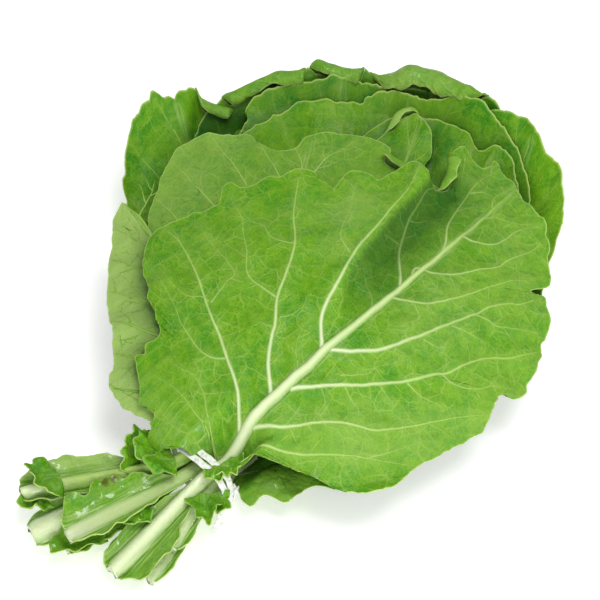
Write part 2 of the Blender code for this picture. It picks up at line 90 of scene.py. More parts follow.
def spline(corners: Sequence[np.ndarray], share: np.ndarray) -> np.ndarray:
    """Reads a smooth curve between the second and the third of four points.

    Args:
        corners: The four points.
        share: How far between the two middle ones.

    Returns:
        The curve's points.
    """
    before, here, there, after = corners
    bend = 2 * before - 5 * here + 4 * there - after
    turn = 3 * (here - there) + after - before
    return here + 0.5 * share * (there - before + share * (bend + share * turn))


def through(points: Sequence[Point], steps: int) -> np.ndarray:
    """Samples a smooth curve through some points.

    Args:
        points: The points that the curve runs through.
        steps: Samples from each point to the next.

    Returns:
        The samples, one row each.
    """
    row = np.array(points, float)
    padded = np.vstack([2 * row[0] - row[1], row, 2 * row[-1] - row[-2]])
    share = (np.arange(steps) / steps)[:, None]
    spans = zip(padded, padded[1:], padded[2:], padded[3:])
    return np.vstack([*(spline(span, share) for span in spans), row[-1:]])


def lengths(line: np.ndarray) -> np.ndarray:
    """Gives the distance along a line at each of its points."""
    return np.concatenate([[0.0], np.cumsum(np.linalg.norm(np.diff(line, axis=0), axis=1))])


def left_of(line: np.ndarray) -> np.ndarray:
    """Gives the direction to the left of a line of the plan at each of its points.

    Args:
        line: The line's points.

    Returns:
        A unit vector for each point.
    """
    ahead = np.gradient(line, axis=0)
    ahead /= np.linalg.norm(ahead, axis=1)[:, None]
    return np.column_stack([-ahead[:, 1], ahead[:, 0]])


def evenly(points: np.ndarray, count: int) -> np.ndarray:
    """Spaces points evenly along a line.

    Args:
        points: The line's points.
        count: How many points to give back.

    Returns:
        The evenly spaced points, one row each.
    """
    along = lengths(points)
    wanted = np.linspace(0.0, along[-1], count)
    return np.column_stack([np.interp(wanted, along, column) for column in points.T])


def ripple(points: np.ndarray, length: float, seed: float) -> np.ndarray:
    """Reads smooth noise at some points.

    Args:
        points: Points of the plan.
        length: Size of the noise's bumps in metres.
        seed: Picks one noise out of many.

    Returns:
        Values from about -1 to 1.
    """
    spot = points.reshape(-1, 2) / length + 19.7 * seed
    cell = np.floor(spot)
    part = spot - cell
    ease = part**3 * (part * (part * 6 - 15) + 10)
    total = np.zeros(len(spot))
    for step in ((0, 0), (0, 1), (1, 0), (1, 1)):
        corner = cell + step
        shuffled = np.sin(corner[:, 0] * 127.1 + corner[:, 1] * 311.7) * 43758.5453
        angle = math.tau * (shuffled - np.floor(shuffled))
        off = part - step
        slope = np.cos(angle) * off[:, 0] + np.sin(angle) * off[:, 1]
        share = np.where(step, ease, 1 - ease)
        total += slope * share[:, 0] * share[:, 1]
    return (1.5 * total).reshape(points.shape[:-1])


def nearest_on(line: np.ndarray, plan: np.ndarray) -> tuple[np.ndarray, np.ndarray]:
    """Finds the place on a line of the plan nearest to each point.

    Args:
        line: The line's points.
        plan: The points to place.

    Returns:
        The place as a point's number with its fraction, and the distance to the line's left.
    """
    here = line[:-1]
    run = line[1:] - here
    places, offs = [], []
    for part in np.array_split(plan, max(1, len(plan) // 4000)):
        gap = part[:, None, :] - here[None]
        share = np.clip((gap * run).sum(2) / (run**2).sum(1), 0.0, 1.0)
        off = gap - share[..., None] * run
        best = (off**2).sum(2).argmin(1)
        rows = np.arange(len(part))
        chosen = off[rows, best]
        left = run[best, 0] * chosen[:, 1] - run[best, 1] * chosen[:, 0] > 0
        places.append(best + share[rows, best])
        offs.append(np.linalg.norm(chosen, axis=1) * np.where(left, 1, -1))
    return np.concatenate(places), np.concatenate(offs)


def nearest_row(points: np.ndarray, place: Sequence[float]) -> int:
    """Gives the number of the point nearest to a place."""
    return int(((points - np.array(place)) ** 2).sum(1).argmin())


class NearestPoint:
    """Finds the nearest of many points of the plan."""

    def __init__(self, points: np.ndarray) -> None:
        """Sorts the points into a tree.

        Args:
            points: Points of the plan, one row each.
        """
        self.tree = KDTree(len(points))
        for index, (x, y) in enumerate(points):
            self.tree.insert((x, y, 0.0), index)
        self.tree.balance()

    def find(self, plan: np.ndarray) -> tuple[np.ndarray, np.ndarray]:
        """Gives the nearest points' numbers and distances."""
        hits = [self.tree.find((x, y, 0.0)) for x, y in plan]
        return np.array([hit[1] for hit in hits]), np.array([hit[2] for hit in hits])


@dataclass(frozen=True)
class Pile:
    """The pile of blades. The heights at its rim are every 45 degrees from +X, anticlockwise."""

    centre: Point = (0.152, 0.032)
    radius: float = 0.165
    height: float = 0.104
    roof_at_rim: tuple[float, ...] = (0.085, 0.095, 0.077, 0.051, 0.046, 0.042, 0.038, 0.056)
    floor_at_rim: tuple[float, ...] = (0.038, 0.047, 0.033, 0.012, 0.006, 0.006, 0.010, 0.024)
    roof_power: float = 1.9
    floor_power: float = 3.4
    flat_share: float = 0.24
    blend: float = 0.010
    gaps: int = 9

    @staticmethod
    def around(values: tuple[float, ...], angle: np.ndarray) -> np.ndarray:
        """Reads a smooth closed curve through evenly spaced values.

        Args:
            values: Heights round the rim.
            angle: Where to read them, in radians.

        Returns:
            The height at each angle.
        """
        place = (angle / math.tau) % 1.0 * len(values)
        index = place.astype(int) % len(values)
        ring = np.array(values)
        corners = [ring[(index + step) % len(values)] for step in (-1, 0, 1, 2)]
        return spline(corners, place - place.astype(int))

    def out(self, plan: np.ndarray) -> np.ndarray:
        """Gives how far out each point is, as a share of the pile's radius."""
        return np.linalg.norm(plan - np.array(self.centre), axis=-1) / self.radius

    def floor_and_roof(self, plan: np.ndarray) -> tuple[np.ndarray, np.ndarray]:
        """Gives the heights that the blades lie between.

        Args:
            plan: Points of the ground.

        Returns:
            The floor's and the roof's height over each point.
        """
        run = plan - np.array(self.centre)
        angle = np.arctan2(run[..., 1], run[..., 0])
        out = self.out(plan)
        floor_rim = self.around(self.floor_at_rim, angle)
        roof_rim = self.around(self.roof_at_rim, angle)
        past_flat = np.maximum(0.0, (out - self.flat_share) / (1 - self.flat_share))
        floor = floor_rim * past_flat**self.floor_power
        rise = floor - floor_rim
        turned_up = (rise + np.hypot(rise, self.blend)) / 2
        dome = (self.height - roof_rim) * np.maximum(0.0, 1 - out**self.roof_power)
        return floor, roof_rim + dome + turned_up


@dataclass(frozen=True)
class Vein:
    """One side vein. Its path on the ground and its width are in millimetres."""

    path: tuple[Point, ...]
    width: float


@dataclass(frozen=True)
class Roll:
    """A stretch of rim that curls up and over. The turn is in degrees."""

    first: Point
    last: Point
    radius: float
    turn: float = 290.0
    ease: float = 0.010
    tone: float = 0.14


@dataclass(frozen=True)
class Fold:
    """A crease along which the sheet rises, and falls off on its right, with painted shade in the hollow
    there.
    """

    path: tuple[Point, ...]
    rise: float
    drop: float
    left_reach: float = 0.022
    right_reach: float = 0.012
    crest_reach: float = 0.004
    # strength of the painted shade in the hollow
    shade: float = 0.45

    def beside(self, plan: np.ndarray) -> tuple[np.ndarray, np.ndarray, np.ndarray]:
        """Sets points against the crease.

        Args:
            plan: Points of the ground.

        Returns:
            How far along the crease from 0 to 1, how far to its left, and to its right in reaches.
        """
        line = through(self.path, 10)
        place, off = nearest_on(line, plan)
        return place / (len(line) - 1), off, np.maximum(0.0, -off) / self.right_reach

    def height(self, plan: np.ndarray) -> np.ndarray:
        """Gives how far the fold lifts the sheet.

        Args:
            plan: Points of the ground.

        Returns:
            The lift at each point, below 0 in the hollow.
        """
        along, off, right = self.beside(plan)
        left = np.maximum(0.0, off) / self.left_reach
        crest = np.where(off > 0, np.exp(-(left**2)), np.exp(-((off / self.crest_reach) ** 2)))
        return smooth_step(0.0, 0.45, along) * (self.rise * crest - self.drop * right * np.exp(1 - right))

    def painted_shade(self, plan: np.ndarray) -> np.ndarray:
        """Gives how much painted shade lies in the hollow beside the fold.

        Args:
            plan: Points of the ground.

        Returns:
            Shares from 0 to 1, one for each point.
        """
        along, _, right = self.beside(plan)
        near = 2 * right * np.exp(1 - 2 * right)
        wide = right * np.exp(1 - right) * 0.6
        return smooth_step(0.0, 0.7, along) * self.shade * np.minimum(1.0, near + wide)


@dataclass(frozen=True)
class Dent:
    """A soft hump in a leaf."""

    centre: Point
    reach: float
    rise: float


@dataclass(frozen=True)
class Leaf:
    """One leaf with its stem. Its midrib, rim and veins are in millimetres, its other lengths in metres."""

    name: str
    place: int
    cut_end: tuple[float, float, float]
    cut_width: float
    wings: tuple[float, float]
    cup: float
    neck: Point
    neck_width: float
    midrib: tuple[Point, ...]
    rim: tuple[Point, ...]
    fan: float
    face_up: Face
    rows: int = 150
    columns: int = 16
    veins: tuple[Vein, ...] = ()
    rolls: tuple[Roll, ...] = ()
    folds: tuple[Fold, ...] = ()
    dents: tuple[Dent, ...] = ()
    blemishes: tuple[Spot, ...] = ()
    # wet spots give gloss and also lift the painted shade there
    wet_spots: tuple[Spot, ...] = ()
    # pale spots: paler bloom, partly painted light on parts in shade
    bloom_and_lit_spots: tuple[Spot, ...] = ()
    bloom_and_lit_share: float = 0.20
    stem_pale: float = 0.6
    ruffle: float = 0.0042
    blister: float = 0.0022
    tone: float = 0.0
    # how far the painted shade reaches past the rims of the leaves above
    shade_reach: float = 0.010
    net_seed: int = 1
    sparse: bool = False


@dataclass
class RibLine:
    """The line of stem and midrib, with its sizes along the way."""

    points: np.ndarray
    width: np.ndarray
    depth: np.ndarray
    wings: np.ndarray
    neck_index: int

    def __post_init__(self) -> None:
        """Finds the left-hand direction and the distance along the line."""
        self.side = left_of(self.points[:, :2])
        self.along = lengths(self.points[:, :2])

    def nearest(self, plan: np.ndarray) -> tuple[np.ndarray, np.ndarray]:
        """Finds the place along the line nearest to each point, and the distance to its left."""
        return nearest_on(self.points[:, :2], plan)

    def at(self, values: np.ndarray, place: np.ndarray) -> np.ndarray:
        """Reads a value part way between two stations."""
        return np.interp(place, np.arange(len(values)), values)

    def plan_at(self, place: np.ndarray) -> np.ndarray:
        """Gives the line's points of the plan at some places along it."""
        return np.column_stack([self.at(self.points[:, axis], place) for axis in (0, 1)])


class Rim:
    """A blade's outline with its small teeth, drawn back where it rolls over."""

    POINTS = 1400
    TEETH = ((0.0029, 0.017), (0.0016, 0.0065), (0.0009, 0.0026))
    TAPER = 40

    def __init__(self, leaf: Leaf) -> None:
        """Works out the outline, anticlockwise from the stem's right.

        Args:
            leaf: The leaf's sizes.
        """
        smooth = evenly(through(np.array(leaf.rim) / MILLIMETRE, 24), self.POINTS)
        along = lengths(smooth)
        self.outward = -left_of(smooth)
        self.roll_shares = [self.roll_share(smooth, along, roll) for roll in leaf.rolls]
        teeth = np.zeros(self.POINTS)
        for index, (depth, length) in enumerate(self.TEETH):
            value = ripple(smooth, length, 3.7 + leaf.place + 0.31 * index)
            teeth += depth * value * (0.35 + np.maximum(0.0, ripple(smooth, 0.05, 0.9 + index)))
        count = np.arange(self.POINTS)
        teeth *= np.minimum(1.0, np.minimum(count, count[::-1]) / self.TAPER)
        teeth *= 1 - sum(self.roll_shares, 0 * along)
        for roll, share in zip(leaf.rolls, self.roll_shares):
            teeth -= roll.radius * share
        self.points = smooth + self.outward * teeth[:, None]
        self.along = lengths(self.points)
        self.finder = NearestPoint(self.points)

    @staticmethod
    def roll_share(line: np.ndarray, along: np.ndarray, roll: Roll) -> np.ndarray:
        """Says how much of a roll there is along the rim.

        Args:
            line: The rim's points.
            along: Their distances along the rim.
            roll: The roll.

        Returns:
            Shares from 0 off the roll to 1 at its full size.
        """
        first, last = (along[nearest_row(line, end)] for end in (roll.first, roll.last))
        grown = smooth_step(first, first + roll.ease, along)
        return grown * smooth_step(last, last - roll.ease, along)

    def nearest(self, plan: np.ndarray) -> tuple[np.ndarray, np.ndarray]:
        """Gives each point's distance to the rim, and the place along the rim in metres."""
        index, gap = self.finder.find(plan)
        return gap, self.along[index]

    def halves(self, tip: Sequence[float]) -> dict[Side, np.ndarray]:
        """Splits the rim at the tip into its two sides, each from the stem to the tip."""
        middle = nearest_row(self.points, tip)
        return {Side.RIGHT: self.points[: middle + 1], Side.LEFT: self.points[middle:][::-1]}


@dataclass(frozen=True)
class Branching:
    """One generation of small veins. Lengths in metres, angles in degrees, width in millimetres."""

    spacing: float
    longest: float
    angle: float
    width: float


class VeinNet:
    """Grows the small veins of one leaf, from the midrib and the side veins outwards."""

    STEP = 0.0015
    END_CLEAR = 0.004
    FREE_START = 0.004
    MEET = 0.0017
    RIM_CLEAR = 0.003
    WANDER = 5.0
    TURN_SPREAD = 10
    FORWARD = 0.05
    LEAST_STEPS = 4
    FADE = 0.45
    RIB_START = 8
    GENERATIONS = (Branching(0.022, 0.040, 50.0, 1.0), Branching(0.014, 0.020, 58.0, 0.6))
    SPARSE_GENERATIONS = (Branching(0.019, 0.020, 58.0, 0.65), Branching(0.016, 0.013, 60.0, 0.5))

    def __init__(self, form: "LeafForm") -> None:
        """Takes the leaf, with its rim, its rib and its side veins."""
        self.form = form
        self.dice = np.random.default_rng(form.leaf.net_seed)

    def grow(self) -> list[Vein]:
        """Grows every generation.

        Returns:
            The small veins.
        """
        form = self.form
        rib = form.rib.points[form.rib.neck_index + self.RIB_START :, :2]
        parents = [evenly(rib, 200), *map(form.vein_path, form.veins)]
        grown = []
        for generation in self.SPARSE_GENERATIONS if form.leaf.sparse else self.GENERATIONS:
            known = np.vstack(parents)
            made = [vein for parent in parents for vein in self.branches(parent, generation, known)]
            parents = [form.vein_path(vein) for vein in made]
            grown += made
        return grown

    def branches(self, parent: np.ndarray, generation: Branching, known: np.ndarray) -> list[Vein]:
        """Grows the branches of one vein.

        Args:
            parent: The vein's points.
            generation: The branches' sizes.
            known: Points of the veins that a branch may meet.

        Returns:
            The branches.
        """
        along = lengths(parent)
        made = []
        side = 1
        run = generation.spacing * self.dice.uniform(0.3, 0.9)
        while run < along[-1] - self.END_CLEAR:
            index = int(np.searchsorted(along, run))
            ahead = parent[min(index + 1, len(parent) - 1)] - parent[index - 1]
            heading = math.atan2(ahead[1], ahead[0])
            spread = self.dice.uniform(-self.TURN_SPREAD, self.TURN_SPREAD)
            turn = math.radians(generation.angle + spread) * side
            length = generation.longest * self.dice.uniform(0.6, 1.0)
            path = self.march(parent[index], heading + turn, heading, length, known)
            if len(path) > self.LEAST_STEPS:
                picked = [*path[:-1:3], path[-1]]
                width = generation.width * (1 - self.FADE * run / along[-1])
                made.append(Vein(tuple((x * MILLIMETRE, y * MILLIMETRE) for x, y in picked), width))
            side = -side
            run += generation.spacing * self.dice.uniform(0.35, 0.85)
        return made

    def march(
        self, start: np.ndarray, heading: float, forward: float, length: float, known: np.ndarray
    ) -> list[np.ndarray]:
        """Leads one branch on until it meets a vein, nears the rim or is long enough.

        Args:
            start: Where it leaves its parent.
            heading: Its first direction, in radians.
            forward: Its parent's direction, which it slowly turns to.
            length: Its greatest length.
            known: Points of the veins that it may meet.

        Returns:
            Its points.
        """
        path = [start]
        here = start
        for _ in range(int(length / self.STEP)):
            heading += self.FORWARD * (forward - heading) + math.radians(self.dice.normal(0, self.WANDER))
            here = here + self.STEP * np.array([math.cos(heading), math.sin(heading)])
            if self.form.rim.nearest(here[None])[0][0] < self.RIM_CLEAR:
                break
            path.append(here)
            if np.linalg.norm(here - start) > self.FREE_START:
                far = np.linalg.norm(known - here, axis=1)
                if far.min() < self.MEET:
                    path.append(known[far.argmin()])
                    break
        return path


class LeafForm:
    """Says where each point of one leaf's sheet lies."""

    STEM_STEPS = 60
    RIB_STEPS = 120
    STEM_DEPTH = 0.0066
    RIB_END_DEPTH = 0.0010
    RIB_END_WIDTH = 0.0024
    WIDTH_POWER = 1.3
    DEPTH_POWER = 1.7
    NECK_PULL = 0.2
    END_PULL = 0.35
    CUT_WINGS = 0.65
    RAGGED = 0.45
    TIE_ZONE = 0.013
    WINGS_FULL = 0.060
    NARROW_WING = 0.004
    RUFFLED_WING = 0.010
    WING_RUFFLE = 0.0042
    COLLAR = 0.0008
    COLLAR_GROWTH = 0.004
    FAN_START = 0.006
    LOBE = (-0.022, -0.012, 0.006, 0.018)
    VEIN_PAIRS = 7
    VEIN_BOW = 0.07
    RIM_BAND = 0.034
    SWAY = 0.0030
    PUCKER = 0.0019
    PUCKER_REACH = 0.0070
    QUILT = 0.00045
    QUILT_REACH = 0.0028
    ROLL_COLUMNS = 18
    ROOTED = 0.0012
    ROOT_REACH = 0.0085
    ROOT_STEPS_BACK = 3.0
    SLOPE_STEP = 0.0006
    BANDS = (0.015, 0.012, 0.0095, 0.0075, 0.0058, 0.0043, 0.003, 0.002, 0.0012, 0.0005, 0.0)

    def __init__(self, leaf: Leaf, pile: Pile) -> None:
        """Works out the lines that the sheet follows.

        Args:
            leaf: The leaf's sizes.
            pile: The pile that it lies in.
        """
        self.leaf = leaf
        self.pile = pile
        self.up = leaf.face_up.value
        self.rib = self.rib_line()
        self.rim = Rim(leaf)
        self.veins = [self.rooted(vein) for vein in leaf.veins or self.natural_veins()]
        self.small_veins = VeinNet(self).grow()
        self.near_main, self.near_small = (
            NearestPoint(np.vstack([self.vein_path(vein) for vein in veins]))
            for veins in (self.veins, self.small_veins)
        )

    def rib_line(self) -> RibLine:
        """Builds the line of the stem and the midrib.

        Returns:
            The line, from the cut end to the midrib's end.
        """
        leaf = self.leaf
        end = np.array(leaf.cut_end)
        neck = np.array([0.0, *leaf.neck])
        pull = np.array([abs(end[0]) * self.NECK_PULL, 0.0, 0.0])
        share = np.arange(self.STEM_STEPS) / self.STEM_STEPS
        stem = self.bezier((end, end + (neck - end) * self.END_PULL, neck - pull, neck), share)
        stem_width = leaf.cut_width + (leaf.neck_width - leaf.cut_width) * smooth_step(0, 0.8, share)
        stem_width *= 0.72 + 0.28 * np.sqrt(smooth_step(0.0, 0.06, share))
        leafy = self.CUT_WINGS + (1 - self.CUT_WINGS) * smooth_step(0, 0.12, share)
        leafy *= smooth_step(self.TIE_ZONE, self.WINGS_FULL, -stem[:, 0])
        leafy *= 0.35 + 0.65 * np.sqrt(smooth_step(-0.02, 0.14, share))
        ragged = [1 + self.RAGGED * ripple(stem[:, :2], 0.011, 4.0 + leaf.place + k) for k in (0.0, 0.5)]
        stem_wings = np.outer(leafy, leaf.wings) * np.column_stack(ragged) + self.COLLAR
        share = np.linspace(0.0, 1.0, self.RIB_STEPS + 1)
        pulls = [np.array([x / MILLIMETRE, y / MILLIMETRE, leaf.neck[1]]) for x, y in leaf.midrib]
        rib = self.bezier((neck, *pulls), share)
        left = 1 - share
        width = self.RIB_END_WIDTH + (leaf.neck_width - self.RIB_END_WIDTH) * left**self.WIDTH_POWER
        depth = self.RIB_END_DEPTH + (self.STEM_DEPTH - self.RIB_END_DEPTH) * left**self.DEPTH_POWER
        wing = self.COLLAR + self.COLLAR_GROWTH * smooth_step(self.FAN_START, leaf.fan, rib[:, 0])
        return RibLine(
            points=np.vstack([stem, rib]),
            width=np.concatenate([stem_width, width]),
            depth=np.concatenate([np.full(self.STEM_STEPS, self.STEM_DEPTH), depth]),
            wings=np.vstack([stem_wings, np.column_stack([wing, wing])]),
            neck_index=self.STEM_STEPS,
        )

    @staticmethod
    def bezier(corners: Sequence[np.ndarray], share: np.ndarray) -> np.ndarray:
        """Samples the cubic curve of four points.

        Args:
            corners: The four points.
            share: How far along the curve each sample lies, from 0 to 1.

        Returns:
            The samples, one row each.
        """
        share = share[:, None]
        rest = 1 - share
        weights = (rest**3, 3 * rest * rest * share, 3 * rest * share * share, share**3)
        return sum(corner * weight for corner, weight in zip(corners, weights))

    def natural_veins(self) -> tuple[Vein, ...]:
        """Sets out side veins for a leaf that the photograph shows little of.

        Returns:
            Veins that leave the midrib left and right and bow towards the tip.
        """
        rib = self.rib
        halves = self.rim.halves(rib.points[-1, :2])
        made = []
        for side in Side:
            half = halves[side]
            for index in range(self.VEIN_PAIRS):
                share = (index + 0.4 + 0.3 * (side is Side.LEFT)) / self.VEIN_PAIRS
                rib_share = 0.04 + 0.86 * share**1.25
                reach_share = min(0.97, 0.22 + 0.76 * share)
                place = rib.neck_index + rib_share * (len(rib.points) - 1 - rib.neck_index)
                start = rib.plan_at(np.array([place]))[0]
                end = start + (half[int(reach_share * (len(half) - 1))] - start) * 0.985
                run = end - start
                bow = np.array([-run[1], run[0]]) * self.VEIN_BOW * -side.value
                path = [start, start + run * 0.5 + bow, end]
                made.append(Vein(tuple((x * MILLIMETRE, y * MILLIMETRE) for x, y in path), 2.5 - 0.9 * share))
        return tuple(made)

    def rooted(self, vein: Vein) -> Vein:
        """Leads a vein that starts beside the midrib onto it, and leaves any other as it is.

        Args:
            vein: The vein as the table of leaves has it.

        Returns:
            The vein with its root.
        """
        place, off = self.rib.nearest(np.array(vein.path[:1]) / MILLIMETRE)
        if not self.ROOTED < abs(off[0]) < self.ROOT_REACH:
            return vein
        root = MILLIMETRE * self.rib.plan_at(np.maximum(0.0, place - self.ROOT_STEPS_BACK))[0]
        return Vein((tuple(root), *vein.path), vein.width)

    @staticmethod
    def vein_path(vein: Vein, step: float = 0.0015) -> np.ndarray:
        """Samples a vein about evenly, with a step in metres."""
        line = through(np.array(vein.path) / MILLIMETRE, 12)
        return evenly(line, max(4, int(lengths(line)[-1] / step)))

    def flat_height(self, plan: np.ndarray) -> np.ndarray:
        """Gives the middle of the plain sheet, before waves and rolls.

        Args:
            plan: Points of the ground.

        Returns:
            The height over each point.
        """
        leaf = self.leaf
        rib = self.rib
        place, off = rib.nearest(plan)
        width = rib.at(rib.width, place)
        wing = np.where(off > 0, rib.at(rib.wings[:, 0], place), rib.at(rib.wings[:, 1], place))
        stem = rib.at(rib.points[:, 2], place) - self.up * rib.at(rib.depth, place) / 2
        reach = np.clip((np.abs(off) - width / 2) / np.maximum(wing, self.NARROW_WING), 0.0, 1.0)
        x = plan[:, 0]
        leafy = smooth_step(self.TIE_ZONE, 2 * self.TIE_ZONE, -x)
        wave = ripple(plan, 0.011, 5.0 + leaf.place) + 0.6 * ripple(plan, 0.0055, 6.0 + leaf.place)
        ruffle = wave * np.minimum(1.0, wing / self.RUFFLED_WING)
        stem = stem + leafy * (leaf.cup * reach**1.5 + self.WING_RUFFLE * ruffle * reach**2)
        floor, roof = self.pile.floor_and_roof(plan)
        pile = floor + (roof - floor) * leaf.place / self.pile.gaps + BLADE_THICKNESS / 2
        back, front, near, far = self.LOBE
        fan = smooth_step(self.FAN_START, leaf.fan, x)
        lobe = smooth_step(back, front, x) * smooth_step(near, far, np.abs(off))
        return stem + (pile - stem) * np.maximum(fan, lobe)

    def lie(self, table: np.ndarray) -> np.ndarray:
        """Lays points of the plan on the finished sheet.

        Args:
            table: Points of the ground, in a table of any shape.

        Returns:
            The points in space, in the same shape.
        """
        leaf = self.leaf
        plan = table.reshape(-1, 2)
        gap, around = self.rim.nearest(plan)
        height = self.flat_height(plan)
        blade = smooth_step(0.0, 0.03, plan[:, 0])
        band = (1 - smooth_step(0.0, self.RIM_BAND, gap)) * blade
        beat = np.column_stack([around, np.full(len(around), 0.3 * leaf.place)])
        wave = ripple(beat, 0.034, 1.0 + leaf.place) + 0.30 * ripple(beat, 0.011, 2.0 + leaf.place) * band
        height += leaf.ruffle * wave * band**1.5
        height += self.SWAY * ripple(plan, 0.060, 0.5) * smooth_step(0.45, 1.0, self.pile.out(plan)) * blade
        calm = blade * smooth_step(0.0, 0.012, gap)
        main = np.exp(-((self.near_main.find(plan)[1] / self.PUCKER_REACH) ** 2))
        small = np.exp(-((self.near_small.find(plan)[1] / self.QUILT_REACH) ** 2))
        height += self.up * (self.PUCKER * (main - 0.6) + self.QUILT * small) * calm
        height += leaf.blister * ripple(plan, 0.019, 8.0 + leaf.place) * blade
        for fold in leaf.folds:
            height += fold.height(plan)
        for dent in leaf.dents:
            far = np.linalg.norm(plan - np.array(dent.centre), axis=1)
            height += dent.rise * np.exp(-((far / dent.reach) ** 2))
        laid = np.column_stack([plan, np.maximum(height, BLADE_THICKNESS / 2)])
        return laid.reshape(*table.shape[:-1], 3)

    def rolled(self, roll: Roll, share: np.ndarray) -> np.ndarray:
        """Sets out the strip that a roll adds to the rim.

        Args:
            roll: The roll's sizes.
            share: How much of it there is along the rim.

        Returns:
            Points as rows along the rim and columns from the rolled edge to the sheet.
        """
        held = np.flatnonzero(share > 0.02)
        around = np.column_stack([self.rim.along[held], np.zeros(len(held))])
        swell = 1 + 0.22 * ripple(around, 0.021, 9.0 + self.leaf.place)
        radius = (roll.radius * share[held] * swell)[:, None]
        reach = np.linspace(1.0, 0.0, self.ROLL_COLUMNS)[None]
        turn = roll.turn * (0.88 + 0.12 * ripple(around, 0.013, 2.0 + self.leaf.place))
        angle = np.radians(turn)[:, None] * reach - math.pi / 2
        frill = 1 + 0.16 * ripple(around, 0.006, 3.0)[:, None] * reach**3
        out = radius * frill * np.cos(angle)
        points = np.repeat(self.lie(self.rim.points[held])[:, None], self.ROLL_COLUMNS, axis=1)
        points[..., :2] += self.rim.outward[held][:, None] * out[..., None]
        points[..., 2] += radius * (1 + frill * np.sin(angle))
        return points

    def normals(self, plan: np.ndarray, laid: np.ndarray) -> np.ndarray:
        """Gives the sheet's upward normals.

        Args:
            plan: Points of the ground.
            laid: The same points on the sheet.

        Returns:
            Unit vectors, three columns.
        """
        along = self.lie(plan + np.array([self.SLOPE_STEP, 0.0])) - laid
        across = self.lie(plan + np.array([0.0, self.SLOPE_STEP])) - laid
        normal = np.cross(along, across)
        return normal / np.linalg.norm(normal, axis=1)[:, None]

    def plan_grid(self) -> np.ndarray:
        """Sets out the sheet's grid on the ground, from the right rim over the rib to the left rim.

        Returns:
            Points as rows along the rib and columns across it.
        """
        rib = self.rib
        rows = self.leaf.rows
        first = rib.neck_index + 6
        stem = np.arange(first)
        share = np.linspace(0.0, 1.0, rows) ** 1.5
        place = first + share * (len(rib.points) - 1 - first)
        middle = np.vstack([rib.points[stem, :2], rib.plan_at(place)])
        inner = np.linspace(0.0, 1.0, self.leaf.columns)
        grid = []
        for side, half in self.rim.halves(rib.points[-1, :2]).items():
            wing = rib.wings[stem, 0 if side is Side.LEFT else 1]
            out = rib.width[stem] / 2 + wing
            stem_edge = rib.points[stem, :2] + rib.side[stem] * (side.value * out)[:, None]
            run = np.vstack([stem_edge, evenly(half, rows)]) - middle
            reach = np.linalg.norm(run, axis=1)
            narrow = np.minimum(1.0, reach / (3 * self.BANDS[0]))
            dense = [1 - narrow * band / np.maximum(reach, SAME_POINT) for band in self.BANDS]
            shares = [*(dense[0] * share for share in inner[:-1]), *dense]
            grid.append([middle + run * part[:, None] for part in shares])
        return np.stack(grid[0][::-1] + grid[1][1:], axis=1)


class Mesher:
    """Makes meshes from Blender's own grids, laid on tables of points."""

    @staticmethod
    def grids(
        name: str, tables: Sequence[np.ndarray], values: dict[str, list], maps: list
    ) -> bpy.types.Mesh:
        """Makes many grids in one mesh.

        Args:
            name: The mesh's name.
            tables: For each grid its points, as rows, columns and three numbers each.
            values: Numbers to keep at the points, for each attribute a list of tables.
            maps: For each grid its points' map coordinates, or nothing for no map.

        Returns:
            The mesh.
        """
        model = bmesh.new()
        for points in tables:
            rows, columns = points.shape[0] - 1, points.shape[1] - 1
            bmesh.ops.create_grid(model, x_segments=rows, y_segments=columns, size=1.0)
        mesh = bpy.data.meshes.new(name)
        model.to_mesh(mesh)
        model.free()
        place = np.empty(len(mesh.vertices) * 3, np.float32)
        mesh.vertices.foreach_get("co", place)
        place = place.reshape(-1, 3)
        orders = []
        first = 0
        for points in tables:
            rows, columns = points.shape[:2]
            part = place[first : first + rows * columns]
            row = np.rint((part[:, 0] + 1) / 2 * (rows - 1)).astype(int)
            column = np.rint((part[:, 1] + 1) / 2 * (columns - 1)).astype(int)
            orders.append((row, column))
            first += rows * columns

        def in_order(grids: Sequence[np.ndarray]) -> np.ndarray:
            """Puts the numbers of all grids in the order of the mesh's points."""
            return np.concatenate([grid[order] for grid, order in zip(grids, orders)]).astype(np.float32)

        mesh.vertices.foreach_set("co", in_order(tables).ravel())
        for key, kept in values.items():
            mesh.attributes.new(key, "FLOAT", "POINT").data.foreach_set("value", in_order(kept))
        if maps:
            corner = np.empty(len(mesh.loops), np.int32)
            mesh.loops.foreach_get("vertex_index", corner)
            mesh.uv_layers.new(name=MAP_NAME).data.foreach_set("uv", in_order(maps)[corner].ravel())
        mesh.update()
        return mesh

    @classmethod
    def grid(
        cls,
        name: str,
        points: np.ndarray,
        values: dict[str, np.ndarray],
        uv: np.ndarray | None,
        tube: bool = False,
    ) -> bpy.types.Mesh:
        """Makes one grid without double points.

        Args:
            name: The mesh's name.
            points: Rows along and columns across, three numbers each.
            values: Numbers to keep at the points, by attribute name.
            uv: Map coordinates of the points, or nothing for no map.
            tube: Whether the last column meets the first, so that the grid closes to a tube with ends.

        Returns:
            The mesh.
        """
        kept = {key: [table] for key, table in values.items()}
        return cls.joined(name, [cls.grids(name, [points], kept, [] if uv is None else [uv])], tube)

    @staticmethod
    def joined(name: str, meshes: Sequence[bpy.types.Mesh], tube: bool = False) -> bpy.types.Mesh:
        """Joins meshes that share their materials.

        Args:
            name: The new mesh's name.
            meshes: The meshes to join. They are removed.
            tube: Whether to close the open ends.

        Returns:
            One mesh with all their faces and attributes.
        """
        model = bmesh.new()
        for mesh in meshes:
            model.from_mesh(mesh)
            bpy.data.meshes.remove(mesh)
        bmesh.ops.remove_doubles(model, verts=model.verts, dist=SAME_POINT)
        if tube:
            bmesh.ops.holes_fill(model, edges=model.edges, sides=0)
            bmesh.ops.recalc_face_normals(model, faces=model.faces)
        whole = bpy.data.meshes.new(name)
        model.to_mesh(whole)
        model.free()
        whole.shade_smooth()
        return whole


